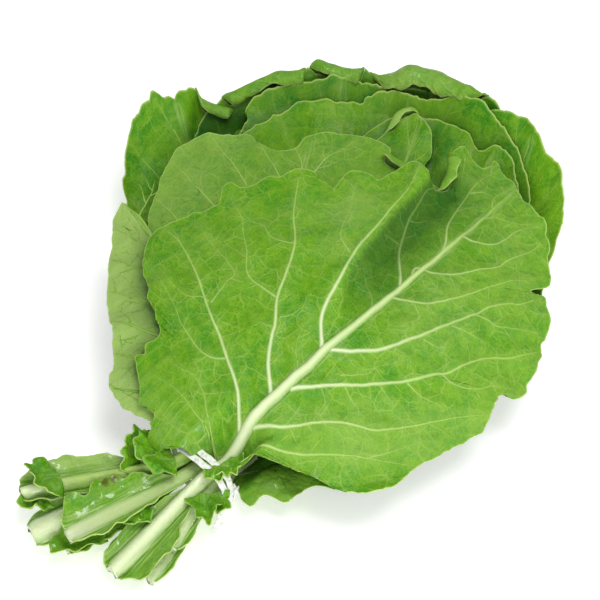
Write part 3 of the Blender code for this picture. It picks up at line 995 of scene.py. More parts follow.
def add_piece(
    mesh: bpy.types.Mesh,
    node: str,
    materials: Sequence[bpy.types.Material],
    thickness: float = 0.0,
) -> None:
    """Puts a mesh in the scene as a piece that stands for a node of the part.

    Args:
        mesh: The piece's mesh, in the neck's frame. It gives the piece its name.
        node: The node that it replaces.
        materials: Its materials, in the order of its faces' numbers.
        thickness: How thick a sheet gets. Its lower face takes the second material, its edge the third.
    """
    mesh.transform(Matrix.Translation(NECK))
    piece = bpy.data.objects.new(mesh.name, mesh)
    bpy.context.scene.collection.objects.link(piece)
    for material in materials:
        mesh.materials.append(material)
    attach(piece, "root")
    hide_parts(node)
    if thickness:
        solid = piece.modifiers.new("thickness", "SOLIDIFY")
        solid.thickness = thickness
        solid.offset = 0.0
        solid.material_offset = 1
        solid.material_offset_rim = 2


@dataclass
class NodeCanvas:
    """Places shader nodes in one tree, and links them."""

    tree: bpy.types.NodeTree

    def feed(self, node: bpy.types.Node, values: Inputs) -> None:
        """Gives a node's inputs values or other nodes' sockets.

        Args:
            node: The node.
            values: Values or source sockets, by the name or the number of the input.
        """
        for key, value in values.items():
            if isinstance(value, bpy.types.NodeSocket):
                self.tree.links.new(value, node.inputs[key])
            else:
                node.inputs[key].default_value = value

    def add(self, kind: str, values: Inputs | None = None, **settings: object) -> bpy.types.Node:
        """Adds a node.

        Args:
            kind: The end of Blender's name for the node's type.
            values: Values or source sockets, by the name or the number of the input.
            **settings: The node's own settings.

        Returns:
            The node.
        """
        node = self.tree.nodes.new(kind if kind.startswith("Node") else "ShaderNode" + kind)
        for key, value in settings.items():
            setattr(node, key, value)
        self.feed(node, values or {})
        return node

    def math(self, operation: str, *values: object) -> Socket:
        """Adds a Math node on some values and returns its output."""
        return self.add("Math", dict(enumerate(values)), operation=operation).outputs[0]

    def vector(self, operation: str, values: dict[int, object]) -> Socket:
        """Adds a Vector Math node on some values and returns its output."""
        return self.add("VectorMath", values, operation=operation).outputs[0]

    def noise(self, vector: Socket, scale: float, detail: float = 2.0) -> Socket:
        """Adds a Noise texture and returns its value."""
        return self.add("TexNoise", {"Vector": vector, "Scale": scale, "Detail": detail}).outputs[0]

    def attribute(self, name: str) -> Socket:
        """Reads a number kept at the mesh's points."""
        return self.add("Attribute", attribute_name=name).outputs["Fac"]

    def ramp(self, value: Socket, low: float, high: float) -> Socket:
        """Turns a value into a smooth share from 0 at one number to 1 at another."""
        values = {"Value": value, "From Min": low, "From Max": high}
        return self.add("MapRange", values, interpolation_type="SMOOTHSTEP").outputs[0]

    def blend(self, share: object, first: object, second: object) -> Socket:
        """Mixes two colours, with a share of the second one."""
        return self.add("Mix", {0: share, 6: first, 7: second}, data_type="RGBA").outputs[2]

    def bump(self, height: Socket, distance: float) -> Socket:
        """Adds a Bump node with a depth in metres and returns its normal."""
        return self.add("Bump", {"Height": height, "Distance": distance, "Strength": 0.6}).outputs[0]


def shade(red: int, green: int, blue: int) -> Colour:
    """Turns a screen colour of 0 to 255 into Blender's linear one.

    Args:
        red: The red part.
        green: The green part.
        blue: The blue part.

    Returns:
        The linear colour, with full cover.
    """
    parts = [part / 255 for part in (red, green, blue)]
    linear = [c / 12.92 if c <= 0.04045 else ((c + 0.055) / 1.055) ** 2.4 for c in parts]
    return (*linear, 1.0)


@functools.cache
def vein_net() -> bpy.types.NodeTree:
    """Builds the shared node group that draws the net of fine veins between the side veins, once.

    Returns:
        A group with the net's lines, a random value for each cell, and slopes towards the lines.
    """
    tree = bpy.data.node_groups.new("vein net", "ShaderNodeTree")
    for kind, names in (("INPUT", ("Vector", "Cells", "Width")), ("OUTPUT", ("Lines", "Cell", "Slopes"))):
        for name in names:
            socket_type = "NodeSocketVector" if name == "Vector" else "NodeSocketFloat"
            tree.interface.new_socket(name, in_out=kind, socket_type=socket_type)
    canvas = NodeCanvas(tree)
    spot, cells, width = canvas.add("NodeGroupInput").outputs[:3]
    wobble = canvas.add("TexNoise", {"Vector": spot, "Scale": 90.0, "Detail": 2.0}).outputs["Color"]
    small = canvas.vector("SCALE", {0: canvas.vector("SUBTRACT", {0: wobble, 1: (0.5, 0.5, 0.5)}), 3: 0.006})
    place = {"Vector": canvas.vector("ADD", {0: spot, 1: small}), "Scale": cells}
    flat = {"voronoi_dimensions": "2D"}
    edges = canvas.add("TexVoronoi", place, feature="DISTANCE_TO_EDGE", **flat).outputs["Distance"]
    colours = canvas.add("TexVoronoi", place, feature="F1", **flat).outputs["Color"]
    lines = canvas.math("SUBTRACT", 1.0, canvas.ramp(canvas.math("DIVIDE", edges, width), 0.0, 1.0))
    lines = canvas.math("MULTIPLY", lines, canvas.ramp(canvas.noise(spot, 60.0), 0.34, 0.62))
    slopes = canvas.math("SUBTRACT", 1.0, canvas.ramp(edges, 0.0, 0.30))
    cell = canvas.add("SeparateColor", {"Color": colours}).outputs[0]
    canvas.add("NodeGroupOutput", {0: lines, 1: cell, 2: slopes})
    return tree


@dataclass(frozen=True)
class Finish:
    """What every finish of the bunch shares: a Principled material fed by its own inputs."""

    name: str

    def build(self) -> bpy.types.Material:
        """Builds the material.

        Returns:
            The material.
        """
        material = bpy.data.materials.new(self.name)
        material.use_nodes = True
        canvas = NodeCanvas(material.node_tree)
        spot = canvas.add("TexCoord").outputs["Object"]
        canvas.feed(material.node_tree.nodes["Principled BSDF"], self.inputs(canvas, spot))
        return material

    def inputs(self, canvas: NodeCanvas, spot: Socket) -> dict[str, object]:
        """Gives the shader's inputs, from the place on the piece."""
        raise NotImplementedError


@dataclass(frozen=True)
class BladeFinish(Finish):
    """The finish of one face of the leaves, with mottling, bloom, vein nets, paler rim and stem, painted
    shade and some painted light.
    """

    mid: Colour
    light: Colour
    deep: Colour
    bloom: Colour
    net: Colour
    vein: Colour
    stem: Colour = shade(168, 196, 118)
    pale: Colour = shade(228, 236, 198)
    brown: Colour = shade(84, 76, 20)
    rim: Colour = shade(194, 216, 124)
    # dark green of the painted shade, also used for small dark flecks
    dark: Colour = shade(8, 70, 12)
    bloom_share: float = 0.24
    net_share: float = 0.62
    relief: float = 1.0
    roughness: float = 0.46

    def inputs(self, canvas: NodeCanvas, spot: Socket) -> dict[str, object]:
        """Gives the shader's inputs.

        Args:
            canvas: The material's nodes.
            spot: Place on the leaf.

        Returns:
            Values and sockets by the names of the inputs.
        """
        leaf_map = canvas.add("UVMap", uv_map=MAP_NAME).outputs[0]
        nets = [
            canvas.add("Group", {0: leaf_map, 1: cells, 2: width}, node_tree=vein_net()).outputs
            for cells, width in ((85.0, 0.055), (230.0, 0.09))
        ]
        drawn_out = canvas.add("Mapping", {"Vector": leaf_map, "Scale": (0.06, 1.0, 1.0)}).outputs[0]
        fibres = canvas.noise(drawn_out, 700.0, 3.0)
        patches = canvas.ramp(canvas.noise(spot, 45.0, 3.0), 0.35, 0.65)
        drops = canvas.ramp(canvas.noise(spot, 120.0), 0.50, 0.58)
        return {
            "Base Color": self.colour(canvas, spot, fibres, nets),
            "Normal": canvas.bump(self.height(canvas, spot, fibres, nets), 0.0006),
            "Roughness": canvas.math("MULTIPLY_ADD", patches, 0.16, self.roughness - 0.08),
            "Coat Weight": canvas.math("MULTIPLY", canvas.attribute("wet"), drops),
            "Coat Roughness": 0.10,
            "Subsurface Weight": 0.10,
            "Subsurface Radius": (0.35, 1.0, 0.15),
            "Subsurface Scale": 0.003,
            "Specular IOR Level": 0.16,
        }

    def colour(self, canvas: NodeCanvas, spot: Socket, fibres: Socket, nets: list) -> Socket:
        """Builds the colour.

        Args:
            canvas: The material's nodes.
            spot: Place on the leaf.
            fibres: Noise drawn out along the rib.
            nets: The outputs of the two nets of fine veins.

        Returns:
            The colour's socket.
        """
        speckle = canvas.ramp(canvas.noise(spot, 420.0, 3.0), 0.40, 0.66)
        bloom = canvas.ramp(canvas.noise(spot, 11.0, 4.0), 0.44, 0.70)
        bloom = canvas.math("MULTIPLY", bloom, self.bloom_share)
        bloom = canvas.math("MULTIPLY", canvas.math("MULTIPLY_ADD", speckle, 0.5, 0.7), bloom)
        coarse = canvas.math("MULTIPLY", nets[0][0], self.net_share)
        fine = canvas.math("MULTIPLY", nets[1][0], self.net_share * 0.50)
        vein_tone = canvas.blend(canvas.ramp(canvas.attribute("pale"), 0.15, 0.95), self.vein, self.pale)
        vein_tone = canvas.blend(canvas.math("MULTIPLY", fibres, 0.35), vein_tone, self.vein)
        stem_tone = canvas.blend(canvas.ramp(fibres, 0.38, 0.66), self.mid, self.stem)
        layers = (
            (canvas.ramp(canvas.noise(spot, 150.0, 6.0), 0.40, 0.62), 0.55, self.light),
            (nets[0][1], 0.20, self.deep),
            (canvas.ramp(canvas.noise(spot, 900.0), 0.52, 0.70), 0.26, self.net),
            (canvas.ramp(canvas.noise(spot, 760.0), 0.50, 0.34), 0.26, self.dark),
            # the tone attribute adds paler bloom, and painted light where pale spots brighten shaded parts
            (canvas.math("ADD", bloom, canvas.attribute("tone")), 1.0, self.bloom),
            (canvas.math("MAXIMUM", coarse, fine), 1.0, self.net),
            (canvas.attribute("halo"), 0.26, self.net),
            (canvas.attribute("stem"), 1.0, stem_tone),
            (canvas.attribute("vein"), 1.0, vein_tone),
            # painted shade: darker under and beside the leaves above, in fold hollows and inside the rolls
            (canvas.attribute("shade"), 0.80, self.dark),
            (canvas.attribute("rim"), 1.0, self.rim),
            (canvas.attribute("brown"), 0.85, self.brown),
        )
        colour = canvas.blend(canvas.ramp(canvas.noise(spot, 34.0, 5.0), 0.34, 0.58), self.deep, self.mid)
        for share, strength, tone in layers:
            colour = canvas.blend(canvas.math("MULTIPLY", share, strength), colour, tone)
        return colour

    def height(self, canvas: NodeCanvas, spot: Socket, fibres: Socket, nets: list) -> Socket:
        """Builds the height of the fine relief.

        Args:
            canvas: The material's nodes.
            spot: Place on the leaf.
            fibres: Noise drawn out along the rib.
            nets: The outputs of the two nets of fine veins.

        Returns:
            The height's socket.
        """
        vein = canvas.attribute("vein")
        height = canvas.math("MULTIPLY", nets[0][2], 0.9 * self.relief)
        height = canvas.math("MULTIPLY_ADD", nets[1][2], 0.30 * self.relief, height)
        plain = canvas.math("MAXIMUM", vein, canvas.attribute("stem"))
        height = canvas.math("MULTIPLY", height, canvas.math("SUBTRACT", 1.0, plain))
        wet = canvas.math("MULTIPLY", canvas.noise(spot, 330.0, 1.0), canvas.attribute("wet"))
        along = canvas.math("MULTIPLY", fibres, vein)
        for layer, strength in ((canvas.noise(spot, 150.0, 3.0), 0.5), (wet, 1.6), (along, 0.5)):
            height = canvas.math("MULTIPLY_ADD", layer, strength, height)
        return height


@dataclass(frozen=True)
class CutFinish(Finish):
    """The finish of the stems' cut ends: a moist pale core, strand dots and dried patches."""

    core: Colour = shade(226, 236, 200)
    spots: Colour = shade(176, 196, 120)
    dry: Colour = shade(186, 160, 98)

    def inputs(self, canvas: NodeCanvas, spot: Socket) -> dict[str, object]:
        """Gives the shader's inputs.

        Args:
            canvas: The material's nodes.
            spot: Place on the cut.

        Returns:
            Values and sockets by the names of the inputs.
        """
        dots = canvas.add("TexVoronoi", {"Vector": spot, "Scale": 750.0}).outputs["Distance"]
        dry = canvas.ramp(canvas.noise(spot, 160.0, 3.0), 0.52, 0.72)
        colour = canvas.blend(canvas.ramp(dots, 0.38, 0.20), self.core, self.spots)
        return {
            "Base Color": canvas.blend(canvas.math("MULTIPLY", dry, 0.6), colour, self.dry),
            "Normal": canvas.bump(dots, 0.0004),
            "Roughness": canvas.math("MULTIPLY_ADD", dry, 0.35, 0.32),
        }


@dataclass(frozen=True)
class TieFinish(Finish):
    """The finish of the band: thin white plastic with creases and a little grime."""

    white: Colour = shade(243, 246, 238)
    grey: Colour = shade(150, 158, 148)

    def inputs(self, canvas: NodeCanvas, spot: Socket) -> dict[str, object]:
        """Gives the shader's inputs.

        Args:
            canvas: The material's nodes.
            spot: Place on the band.

        Returns:
            Values and sockets by the names of the inputs.
        """
        grime = canvas.ramp(canvas.noise(spot, 520.0, 4.0), 0.44, 0.66)
        return {
            "Base Color": canvas.blend(canvas.math("MULTIPLY", grime, 0.45), self.white, self.grey),
            "Normal": canvas.bump(canvas.noise(spot, 700.0), 0.0004),
            "Roughness": canvas.math("MULTIPLY_ADD", grime, 0.2, 0.35),
        }


@dataclass(frozen=True)
class FloorFinish(Finish):
    """The finish of the plain pale floor."""

    def inputs(self, canvas: NodeCanvas, spot: Socket) -> dict[str, object]:
        """Gives the shader's inputs, the same everywhere.

        Args:
            canvas: The material's nodes.
            spot: Place on the floor.

        Returns:
            Values by the names of the inputs.
        """
        white = (1.0, 1.0, 1.0, 1.0)
        grey = (0.92, 0.92, 0.92, 1.0)
        return {"Base Color": grey, "Emission Color": white, "Emission Strength": 0.38, "Roughness": 0.8}


@dataclass(frozen=True)
class Finishes:
    """The materials of the bunch, built once."""

    outer: bpy.types.Material
    inside: bpy.types.Material
    rim: bpy.types.Material
    cut: bpy.types.Material
    tie: bpy.types.Material

    @classmethod
    def build(cls) -> "Finishes":
        """Builds every finish.

        Returns:
            The materials.
        """
        outer = BladeFinish(
            name="leaf_outer_face",
            mid=shade(94, 152, 8),
            light=shade(122, 170, 22),
            deep=shade(64, 140, 10),
            bloom=shade(158, 190, 100),
            net=shade(148, 184, 84),
            vein=shade(172, 204, 104),
        )
        inside = BladeFinish(
            name="leaf_inside_face",
            mid=shade(98, 156, 12),
            light=shade(124, 174, 26),
            deep=shade(54, 134, 12),
            bloom=shade(124, 168, 60),
            net=shade(148, 190, 70),
            vein=shade(172, 206, 100),
            bloom_share=0.15,
            net_share=0.34,
            relief=-0.8,
            roughness=0.42,
        )
        rim = BladeFinish(
            name="leaf_rim",
            mid=shade(150, 184, 76),
            light=shade(166, 196, 92),
            deep=shade(130, 170, 60),
            bloom=shade(160, 190, 100),
            net=shade(160, 190, 96),
            vein=shade(170, 196, 110),
            net_share=0.0,
        )
        finishes = (outer, inside, rim, CutFinish("cut_end"), TieFinish("tie_band"))
        return cls(*(finish.build() for finish in finishes))


@dataclass
class DressedLeaf:
    """One leaf's fine sheet, with its rolled rims, its rib and its side veins."""

    leaf: Leaf
    pile: Pile
    finishes: Finishes
    above: Sequence[LeafForm] = ()
    rib_columns: int = 18
    vein_height: float = 0.0006
    vein_step: float = 0.0023
    halo_reach: float = 0.0036
    rib_reach: float = 0.62
    rib_sunk: float = 0.0006
    cut_depth: float = 0.0022
    cut_reach: float = 0.004
    cut_pale_reach: float = 0.014
    lowest: float = 0.0002
    rim_line: float = 0.0006
    roll_rim_line: float = 0.0007
    ridge_sunk: float = 0.00006
    lower_ridge: float = 0.0001
    main_vein: float = 1.3

    def __post_init__(self) -> None:
        """Works out the leaf's form, its slot, and the materials of its upper and lower face."""
        self.form = LeafForm(self.leaf, self.pile)
        outer_up = self.leaf.face_up is Face.OUTER
        self.slot = "leaf_outer_face" if outer_up else "leaf_inside_face"
        faces = [self.finishes.outer, self.finishes.inside]
        self.faces = faces if outer_up else faces[::-1]

    def build(self) -> None:
        """Builds the leaf's pieces."""
        self.build_sheet()
        self.build_rolls()
        name = self.leaf.name + "_ribs"
        mesh = Mesher.joined(name, [self.rib_bar(), *self.vein_ridges()])
        add_piece(mesh, self.leaf.name, [*self.faces, self.finishes.cut])

    def add_sheet(self, kind: str, points: np.ndarray, values: dict[str, np.ndarray], uv: np.ndarray) -> None:
        """Adds a piece made of one thickened grid.

        Args:
            kind: The end of the piece's name.
            points: Rows along and columns across, three numbers each.
            values: Numbers to keep at the points, by attribute name.
            uv: Map coordinates of the points.
        """
        mesh = Mesher.grid(f"{self.leaf.name}_{kind}", points, values, uv)
        add_piece(mesh, self.leaf.name, [*self.faces, self.finishes.rim], BLADE_THICKNESS)

    def leaf_map(self, table: np.ndarray) -> np.ndarray:
        """Gives each point's map coordinates: how far along the rib, and how far to its left."""
        place, off = self.form.rib.nearest(table.reshape(-1, 2))
        return np.column_stack([self.form.rib.at(self.form.rib.along, place), off]).reshape(table.shape)

    def build_sheet(self) -> None:
        """Builds the sheet."""
        leaf = self.leaf
        rib = self.form.rib
        grid = self.form.plan_grid()
        plan = grid.reshape(-1, 2)
        place, off = rib.nearest(plan)
        beyond = np.abs(off) - rib.at(rib.width, place) / 2
        on_stem = 1 - smooth_step(-0.006, 0.020, plan[:, 0])
        stem = on_stem * (1 - 0.85 * smooth_step(0.0, 0.010, beyond))
        ends = (np.linalg.norm(grid - edge, axis=2).ravel() for edge in (grid[:, :1], grid[:, -1:]))
        wet = np.maximum(self.spots(plan, leaf.wet_spots), on_stem)
        values = {
            "rim": 0.70 * np.exp(-((np.minimum(*ends) / self.rim_line) ** 2)) * (1 - 0.6 * on_stem),
            "stem": np.maximum(stem, (1 - smooth_step(0.0, 0.003, beyond)) * 0.6),
            "halo": np.exp(-self.form.near_main.find(plan)[1] / self.halo_reach),
            # painted shade under and near the leaves above and in the fold hollows, mostly left off on the
            # wet spots
            "shade": np.maximum(self.shade_under(plan) * (1 - 0.9 * wet), self.fold_shades(plan)),
            # tone: paler bloom, and with the pale spots partly painted light
            "tone": leaf.tone + leaf.bloom_and_lit_share * self.spots(plan, leaf.bloom_and_lit_spots),
            "brown": self.spots(plan, leaf.blemishes),
            "wet": wet,
        }
        tables = {key: row.reshape(grid.shape[:2]) for key, row in values.items()}
        self.add_sheet("sheet", self.form.lie(grid), tables, self.leaf_map(grid))

    def build_rolls(self) -> None:
        """Builds the strips of rim that roll over."""
        for index, (roll, share) in enumerate(zip(self.leaf.rolls, self.form.rim.roll_shares)):
            points = self.form.rolled(roll, share)
            reach = np.linspace(1.0, 0.0, points.shape[1])[None] * np.ones((len(points), 1))
            width = roll.radius * math.radians(roll.turn)
            values = {
                "rim": 0.75 * np.exp(-(((1 - reach) * width / self.roll_rim_line) ** 2)),
                "tone": 0 * reach + roll.tone,
                # painted shade inside the curl, where the roll meets the sheet
                "shade": 0.9 * np.exp(-((reach / 0.22) ** 2)),
                "wet": 0 * reach + 0.4,
            }
            uv = self.leaf_map(points[..., :2])
            uv[..., 1] += reach * width
            self.add_sheet(f"roll_{index}", points, values, uv)

    def fold_shades(self, plan: np.ndarray) -> np.ndarray:
        """Says how much painted shade lies in the hollows beside the leaf's folds, from 0 to 1."""
        return sum((fold.painted_shade(plan) for fold in self.leaf.folds), np.zeros(len(plan)))

    @staticmethod
    def spots(plan: np.ndarray, spots: Sequence[Spot]) -> np.ndarray:
        """Marks round spots with ragged edges.

        Args:
            plan: Points of the ground.
            spots: Each spot's centre and reach.

        Returns:
            Shares from 0 to 1.
        """
        mark = np.zeros(len(plan))
        for x, y, reach in spots:
            far = np.hypot(plan[:, 0] - x, plan[:, 1] - y) / reach
            far *= 1 + 0.5 * ripple(plan, 0.6 * reach, 4.0)
            mark = np.maximum(mark, 1 - smooth_step(0.35, 1.15, far))
        return mark

    def shade_under(self, plan: np.ndarray) -> np.ndarray:
        """Says how much painted shade the leaves above lay on each point, where they keep the light from it.

        Args:
            plan: Points of the ground.

        Returns:
            Shares from 0 in the open to 1 under another leaf.
        """
        dark = np.zeros(len(plan))
        for form in self.above:
            outline = form.rim.points[::12]
            gap = NearestPoint(outline).find(plan)[1]
            after = np.roll(outline, -1, axis=0)
            y = plan[:, 1:]
            crosses = (outline[:, 1] > y) != (after[:, 1] > y)
            rise = np.where(after[:, 1] == outline[:, 1], 1.0, after[:, 1] - outline[:, 1])
            meets = outline[:, 0] + (y - outline[:, 1]) / rise * (after[:, 0] - outline[:, 0])
            under = (crosses & (plan[:, :1] < meets)).sum(1) % 2 == 1
            near = np.where(under, 1.0, np.exp(-gap / self.leaf.shade_reach) * 0.9)
            dark = np.maximum(dark, near)
        return dark

    def rib_bar(self) -> bpy.types.Mesh:
        """Builds the stem and midrib as one tapering bar that swells out of the sheet's outer face.

        Returns:
            The closed mesh.
        """
        form = self.form
        rib = form.rib
        half = self.rib_columns // 2
        across = np.concatenate([np.linspace(1, -1, half + 1), np.linspace(-1, 1, half + 1)[1:]])
        bulk = np.arange(len(across)) <= half
        swell = (1 - across**2) ** 1.25
        reach = rib.width[:, None] * self.rib_reach * across
        plan = rib.points[:, None, :2] + rib.side[:, None, :] * reach[..., None]
        middle = form.lie(rib.points[:, :2])[:, 2][:, None]
        base = middle + (form.lie(plan)[..., 2] - middle) * 0.75
        rise = np.where(bulk, rib.depth[:, None] * swell, -self.rib_sunk * np.minimum(1, swell * 3))
        height = np.maximum(base + form.up * rise, self.lowest)
        points = np.concatenate([plan, height[..., None]], axis=2)
        rough_cut = np.column_stack([across * 0.006, np.where(bulk, 0.0, 0.002)])
        ahead = points[2, 0] - points[0, 0]
        ahead /= np.linalg.norm(ahead)
        points[0] += self.cut_depth * ripple(rough_cut, 0.004, 3.0 + self.leaf.place)[:, None] * ahead
        points[:, -1] = points[:, 0]
        rows = len(points)
        share = np.clip((np.arange(rows) - rib.neck_index) / (rows - rib.neck_index), 0, 1)
        on_stem = (share == 0) * 1.0
        stem_pale = self.leaf.stem_pale + (1 - self.leaf.stem_pale) * np.exp(-rib.along / self.cut_pale_reach)
        even = np.ones(len(across))
        values = {
            "pale": np.outer(np.where(share == 0, stem_pale, 1 - 0.75 * share**0.8), even),
            "vein": np.outer(1 - 0.75 * smooth_step(0.65, 1.0, share), np.minimum(1.0, swell * 1.15)),
            "stem": np.outer(on_stem, even),
            "wet": np.outer(on_stem, even),
        }
        points = points[:, :: form.up]
        values = {key: table[:, :: form.up] for key, table in values.items()}
        mesh = Mesher.grid("rib", points, values, self.leaf_map(points[..., :2]), tube=True)
        lowest = min(polygon.center.x for polygon in mesh.polygons)
        for polygon in mesh.polygons:
            if len(polygon.vertices) > 4 and polygon.center.x < lowest + self.cut_reach:
                polygon.material_index = 2
        return mesh

    def vein_ridges(self) -> list[bpy.types.Mesh]:
        """Builds the veins as low ridges on the sheet: all on its upper face, the main ones below too.

        Returns:
            The meshes of the outer and of the inner face's ridges.
        """
        form = self.form
        strips = [self.vein_strip(vein) for vein in [*form.veins, *form.small_veins]]
        flat = np.vstack([strip[0].reshape(-1, 2) for strip in strips])
        laid = form.lie(flat)
        normal = form.normals(flat, laid)
        uv = self.leaf_map(flat)
        # painted shade of the leaves above and the fold hollows, carried onto the veins
        shaded = 0.85 * np.maximum(self.shade_under(flat), self.fold_shades(flat))
        made = []
        for way in (form.up, -form.up):
            tables, uvs = [], []
            values: dict[str, list] = {"pale": [], "vein": [], "shade": []}
            first = 0
            for index, (plan, lift, pale, tint) in enumerate(strips):
                shape = plan.shape[:2]
                part = slice(first, first + lift.size)
                first = part.stop
                if way < 0 and index >= len(form.veins):
                    continue
                rise = lift if way == form.up else np.minimum(lift, self.lower_ridge)
                out = BLADE_THICKNESS / 2 - self.ridge_sunk + rise.reshape(-1, 1)
                tables.append((laid[part] + normal[part] * way * out).reshape(*shape, 3)[:, ::way])
                uvs.append(uv[part].reshape(*shape, 2)[:, ::way])
                for key, table in (("pale", pale), ("vein", tint), ("shade", shaded[part].reshape(shape))):
                    values[key].append(table[:, ::way])
            mesh = Mesher.grids("veins", tables, values, uvs)
            face = 0 if way > 0 else 1
            mesh.polygons.foreach_set("material_index", np.full(len(mesh.polygons), face, np.int32))
            made.append(mesh)
        return made

    def vein_strip(self, vein: Vein) -> tuple[np.ndarray, np.ndarray, np.ndarray, np.ndarray]:
        """Sets out one vein's strip on the ground.

        Args:
            vein: The vein's path and width.

        Returns:
            The strip's points, and its height, its paleness and its tint at each of them.
        """
        path = self.form.vein_path(vein, self.vein_step)
        share = np.linspace(0.0, 1.0, len(path))
        flare = 0.45 * np.exp(-share * len(path) / 3.0)
        size = (1 - share) ** 0.6 * 0.75 + 0.25 * (share < 1)
        main = vein.width > self.main_vein
        crest = np.array([0.0, 0.40, 1.0, 1.0, 0.40, 0.0] if main else [0.0, 1.0, 0.0])
        profile = np.array([-1.0, -0.60, -0.2, 0.2, 0.60, 1.0] if main else [-1.0, 0.0, 1.0])
        width = vein.width / MILLIMETRE * (size + flare)
        plan = path[:, None] + left_of(path)[:, None] * (profile * 0.75 * width[:, None])[..., None]
        strength = min(1.0, 0.50 + vein.width * 0.24)
        lift = self.vein_height * min(1.0, vein.width / 2.2) * np.outer(size, crest)
        whiteness = min(1.0, vein.width / 2.6) * size * (0.40 + 0.45 * (1 - share) ** 1.5)
        pale = np.outer(whiteness, np.ones(len(profile)))
        return plan, lift, pale, np.outer(0.30 + 0.70 * size, crest) * strength


@dataclass
class Scrap:
    """A small frilly lobe of leaf at the neck or on a stem. Angles in degrees."""

    name: str
    node: str
    base: tuple[float, float, float]
    heading: float
    rise: float
    length: float
    width: float
    frill: float = 0.0035
    wave_share: float = 0.32
    curl: float = 0.3
    half_angle: float = 1.42
    root_half_width: float = 0.0015
    rim_line: float = 0.0007
    rows: int = 22
    columns: int = 36

    def build(self, finishes: Finishes) -> None:
        """Builds the lobe.

        Args:
            finishes: The bunch's materials.
        """
        turn, rise = math.radians(self.heading), math.radians(self.rise)
        level = np.array([math.cos(turn), math.sin(turn), 0.0])
        ahead = level * math.cos(rise) + np.array([0.0, 0.0, math.sin(rise)])
        side = np.array([-level[1], level[0], 0.0])
        share = np.linspace(0.0, 1.0, self.rows + 1)[:, None]
        across = np.linspace(1.0, -1.0, self.columns + 1)[None]
        places = np.column_stack([across[0] * 0.02, np.full(self.columns + 1, self.length)])
        ragged = 1 + 0.38 * ripple(places, 0.0066, self.heading / 90) + 0.03 * ripple(places, 0.0024, 3.0)
        angle = across * self.half_angle
        reach = share * self.length * ragged * np.cos(angle)
        spread = share * self.width * ragged * np.sin(angle) / (2 * math.sin(self.half_angle))
        spread += self.root_half_width * across
        flat = np.stack([reach, spread], axis=2)
        wave = 1.3 * ripple(flat, self.width * self.wave_share, self.heading / 50)
        wave += 0.4 * ripple(flat, 0.0032, 1.0)
        lift = self.frill * wave * share**0.8 + self.curl * self.length * share**2 * (1 - across**2)
        ways = ((reach, ahead), (spread, side), (lift, np.cross(ahead, side)))
        points = sum((far[..., None] * way for far, way in ways), np.array(self.base))
        points[..., 2] = np.maximum(points[..., 2], BLADE_THICKNESS / 2)
        even = np.ones_like(across)
        values = {
            "rim": 0.40 * np.exp(-(((1 - share) * self.length / self.rim_line) ** 2)) * even,
            "stem": 0.5 * (1 - share) ** 2 * even,
            "wet": np.full(reach.shape, 0.8),
        }
        mesh = Mesher.grid(self.name, points, values, flat)
        materials = [finishes.outer, finishes.inside, finishes.rim]
        add_piece(mesh, self.node, materials, SCRAP_THICKNESS)


SCRAPS = (
    Scrap("neck_lobe_left", "leaf_left", (-0.020, 0.030, 0.030), 115, 38, 0.024, 0.034),
    Scrap("neck_lobe_top", "leaf_second", (-0.012, 0.010, 0.040), 150, 12, 0.018, 0.026),
    Scrap("neck_lobe_near", "leaf_front", (0.001, -0.015, 0.042), 215, -2, 0.012, 0.018),
    Scrap("neck_lobe_front", "leaf_front", (0.005, -0.016, 0.042), 265, 4, 0.014, 0.022),
    Scrap("neck_lobe_low", "leaf_front", (-0.015, -0.018, 0.032), 225, -12, 0.022, 0.020),
    Scrap("neck_lobe_side", "leaf_front", (-0.010, -0.022, 0.030), 250, -12, 0.014, 0.016),
    Scrap("stem_lobe_left", "leaf_left", (-0.066, 0.062, 0.034), 160, 20, 0.022, 0.030),
    Scrap("stem_lobe_end", "leaf_left", (-0.080, 0.066, 0.024), 185, 0, 0.015, 0.022),
    Scrap("stem_lobe_low", "leaf_fourth", (-0.066, 0.026, 0.014), 165, -8, 0.034, 0.030),
    Scrap("neck_lobe_back", "leaf_left", (-0.010, 0.022, 0.038), 130, 25, 0.020, 0.030),
    Scrap("stem_lobe_wing", "leaf_inner_small", (-0.050, 0.014, 0.030), 285, -20, 0.014, 0.022),
)


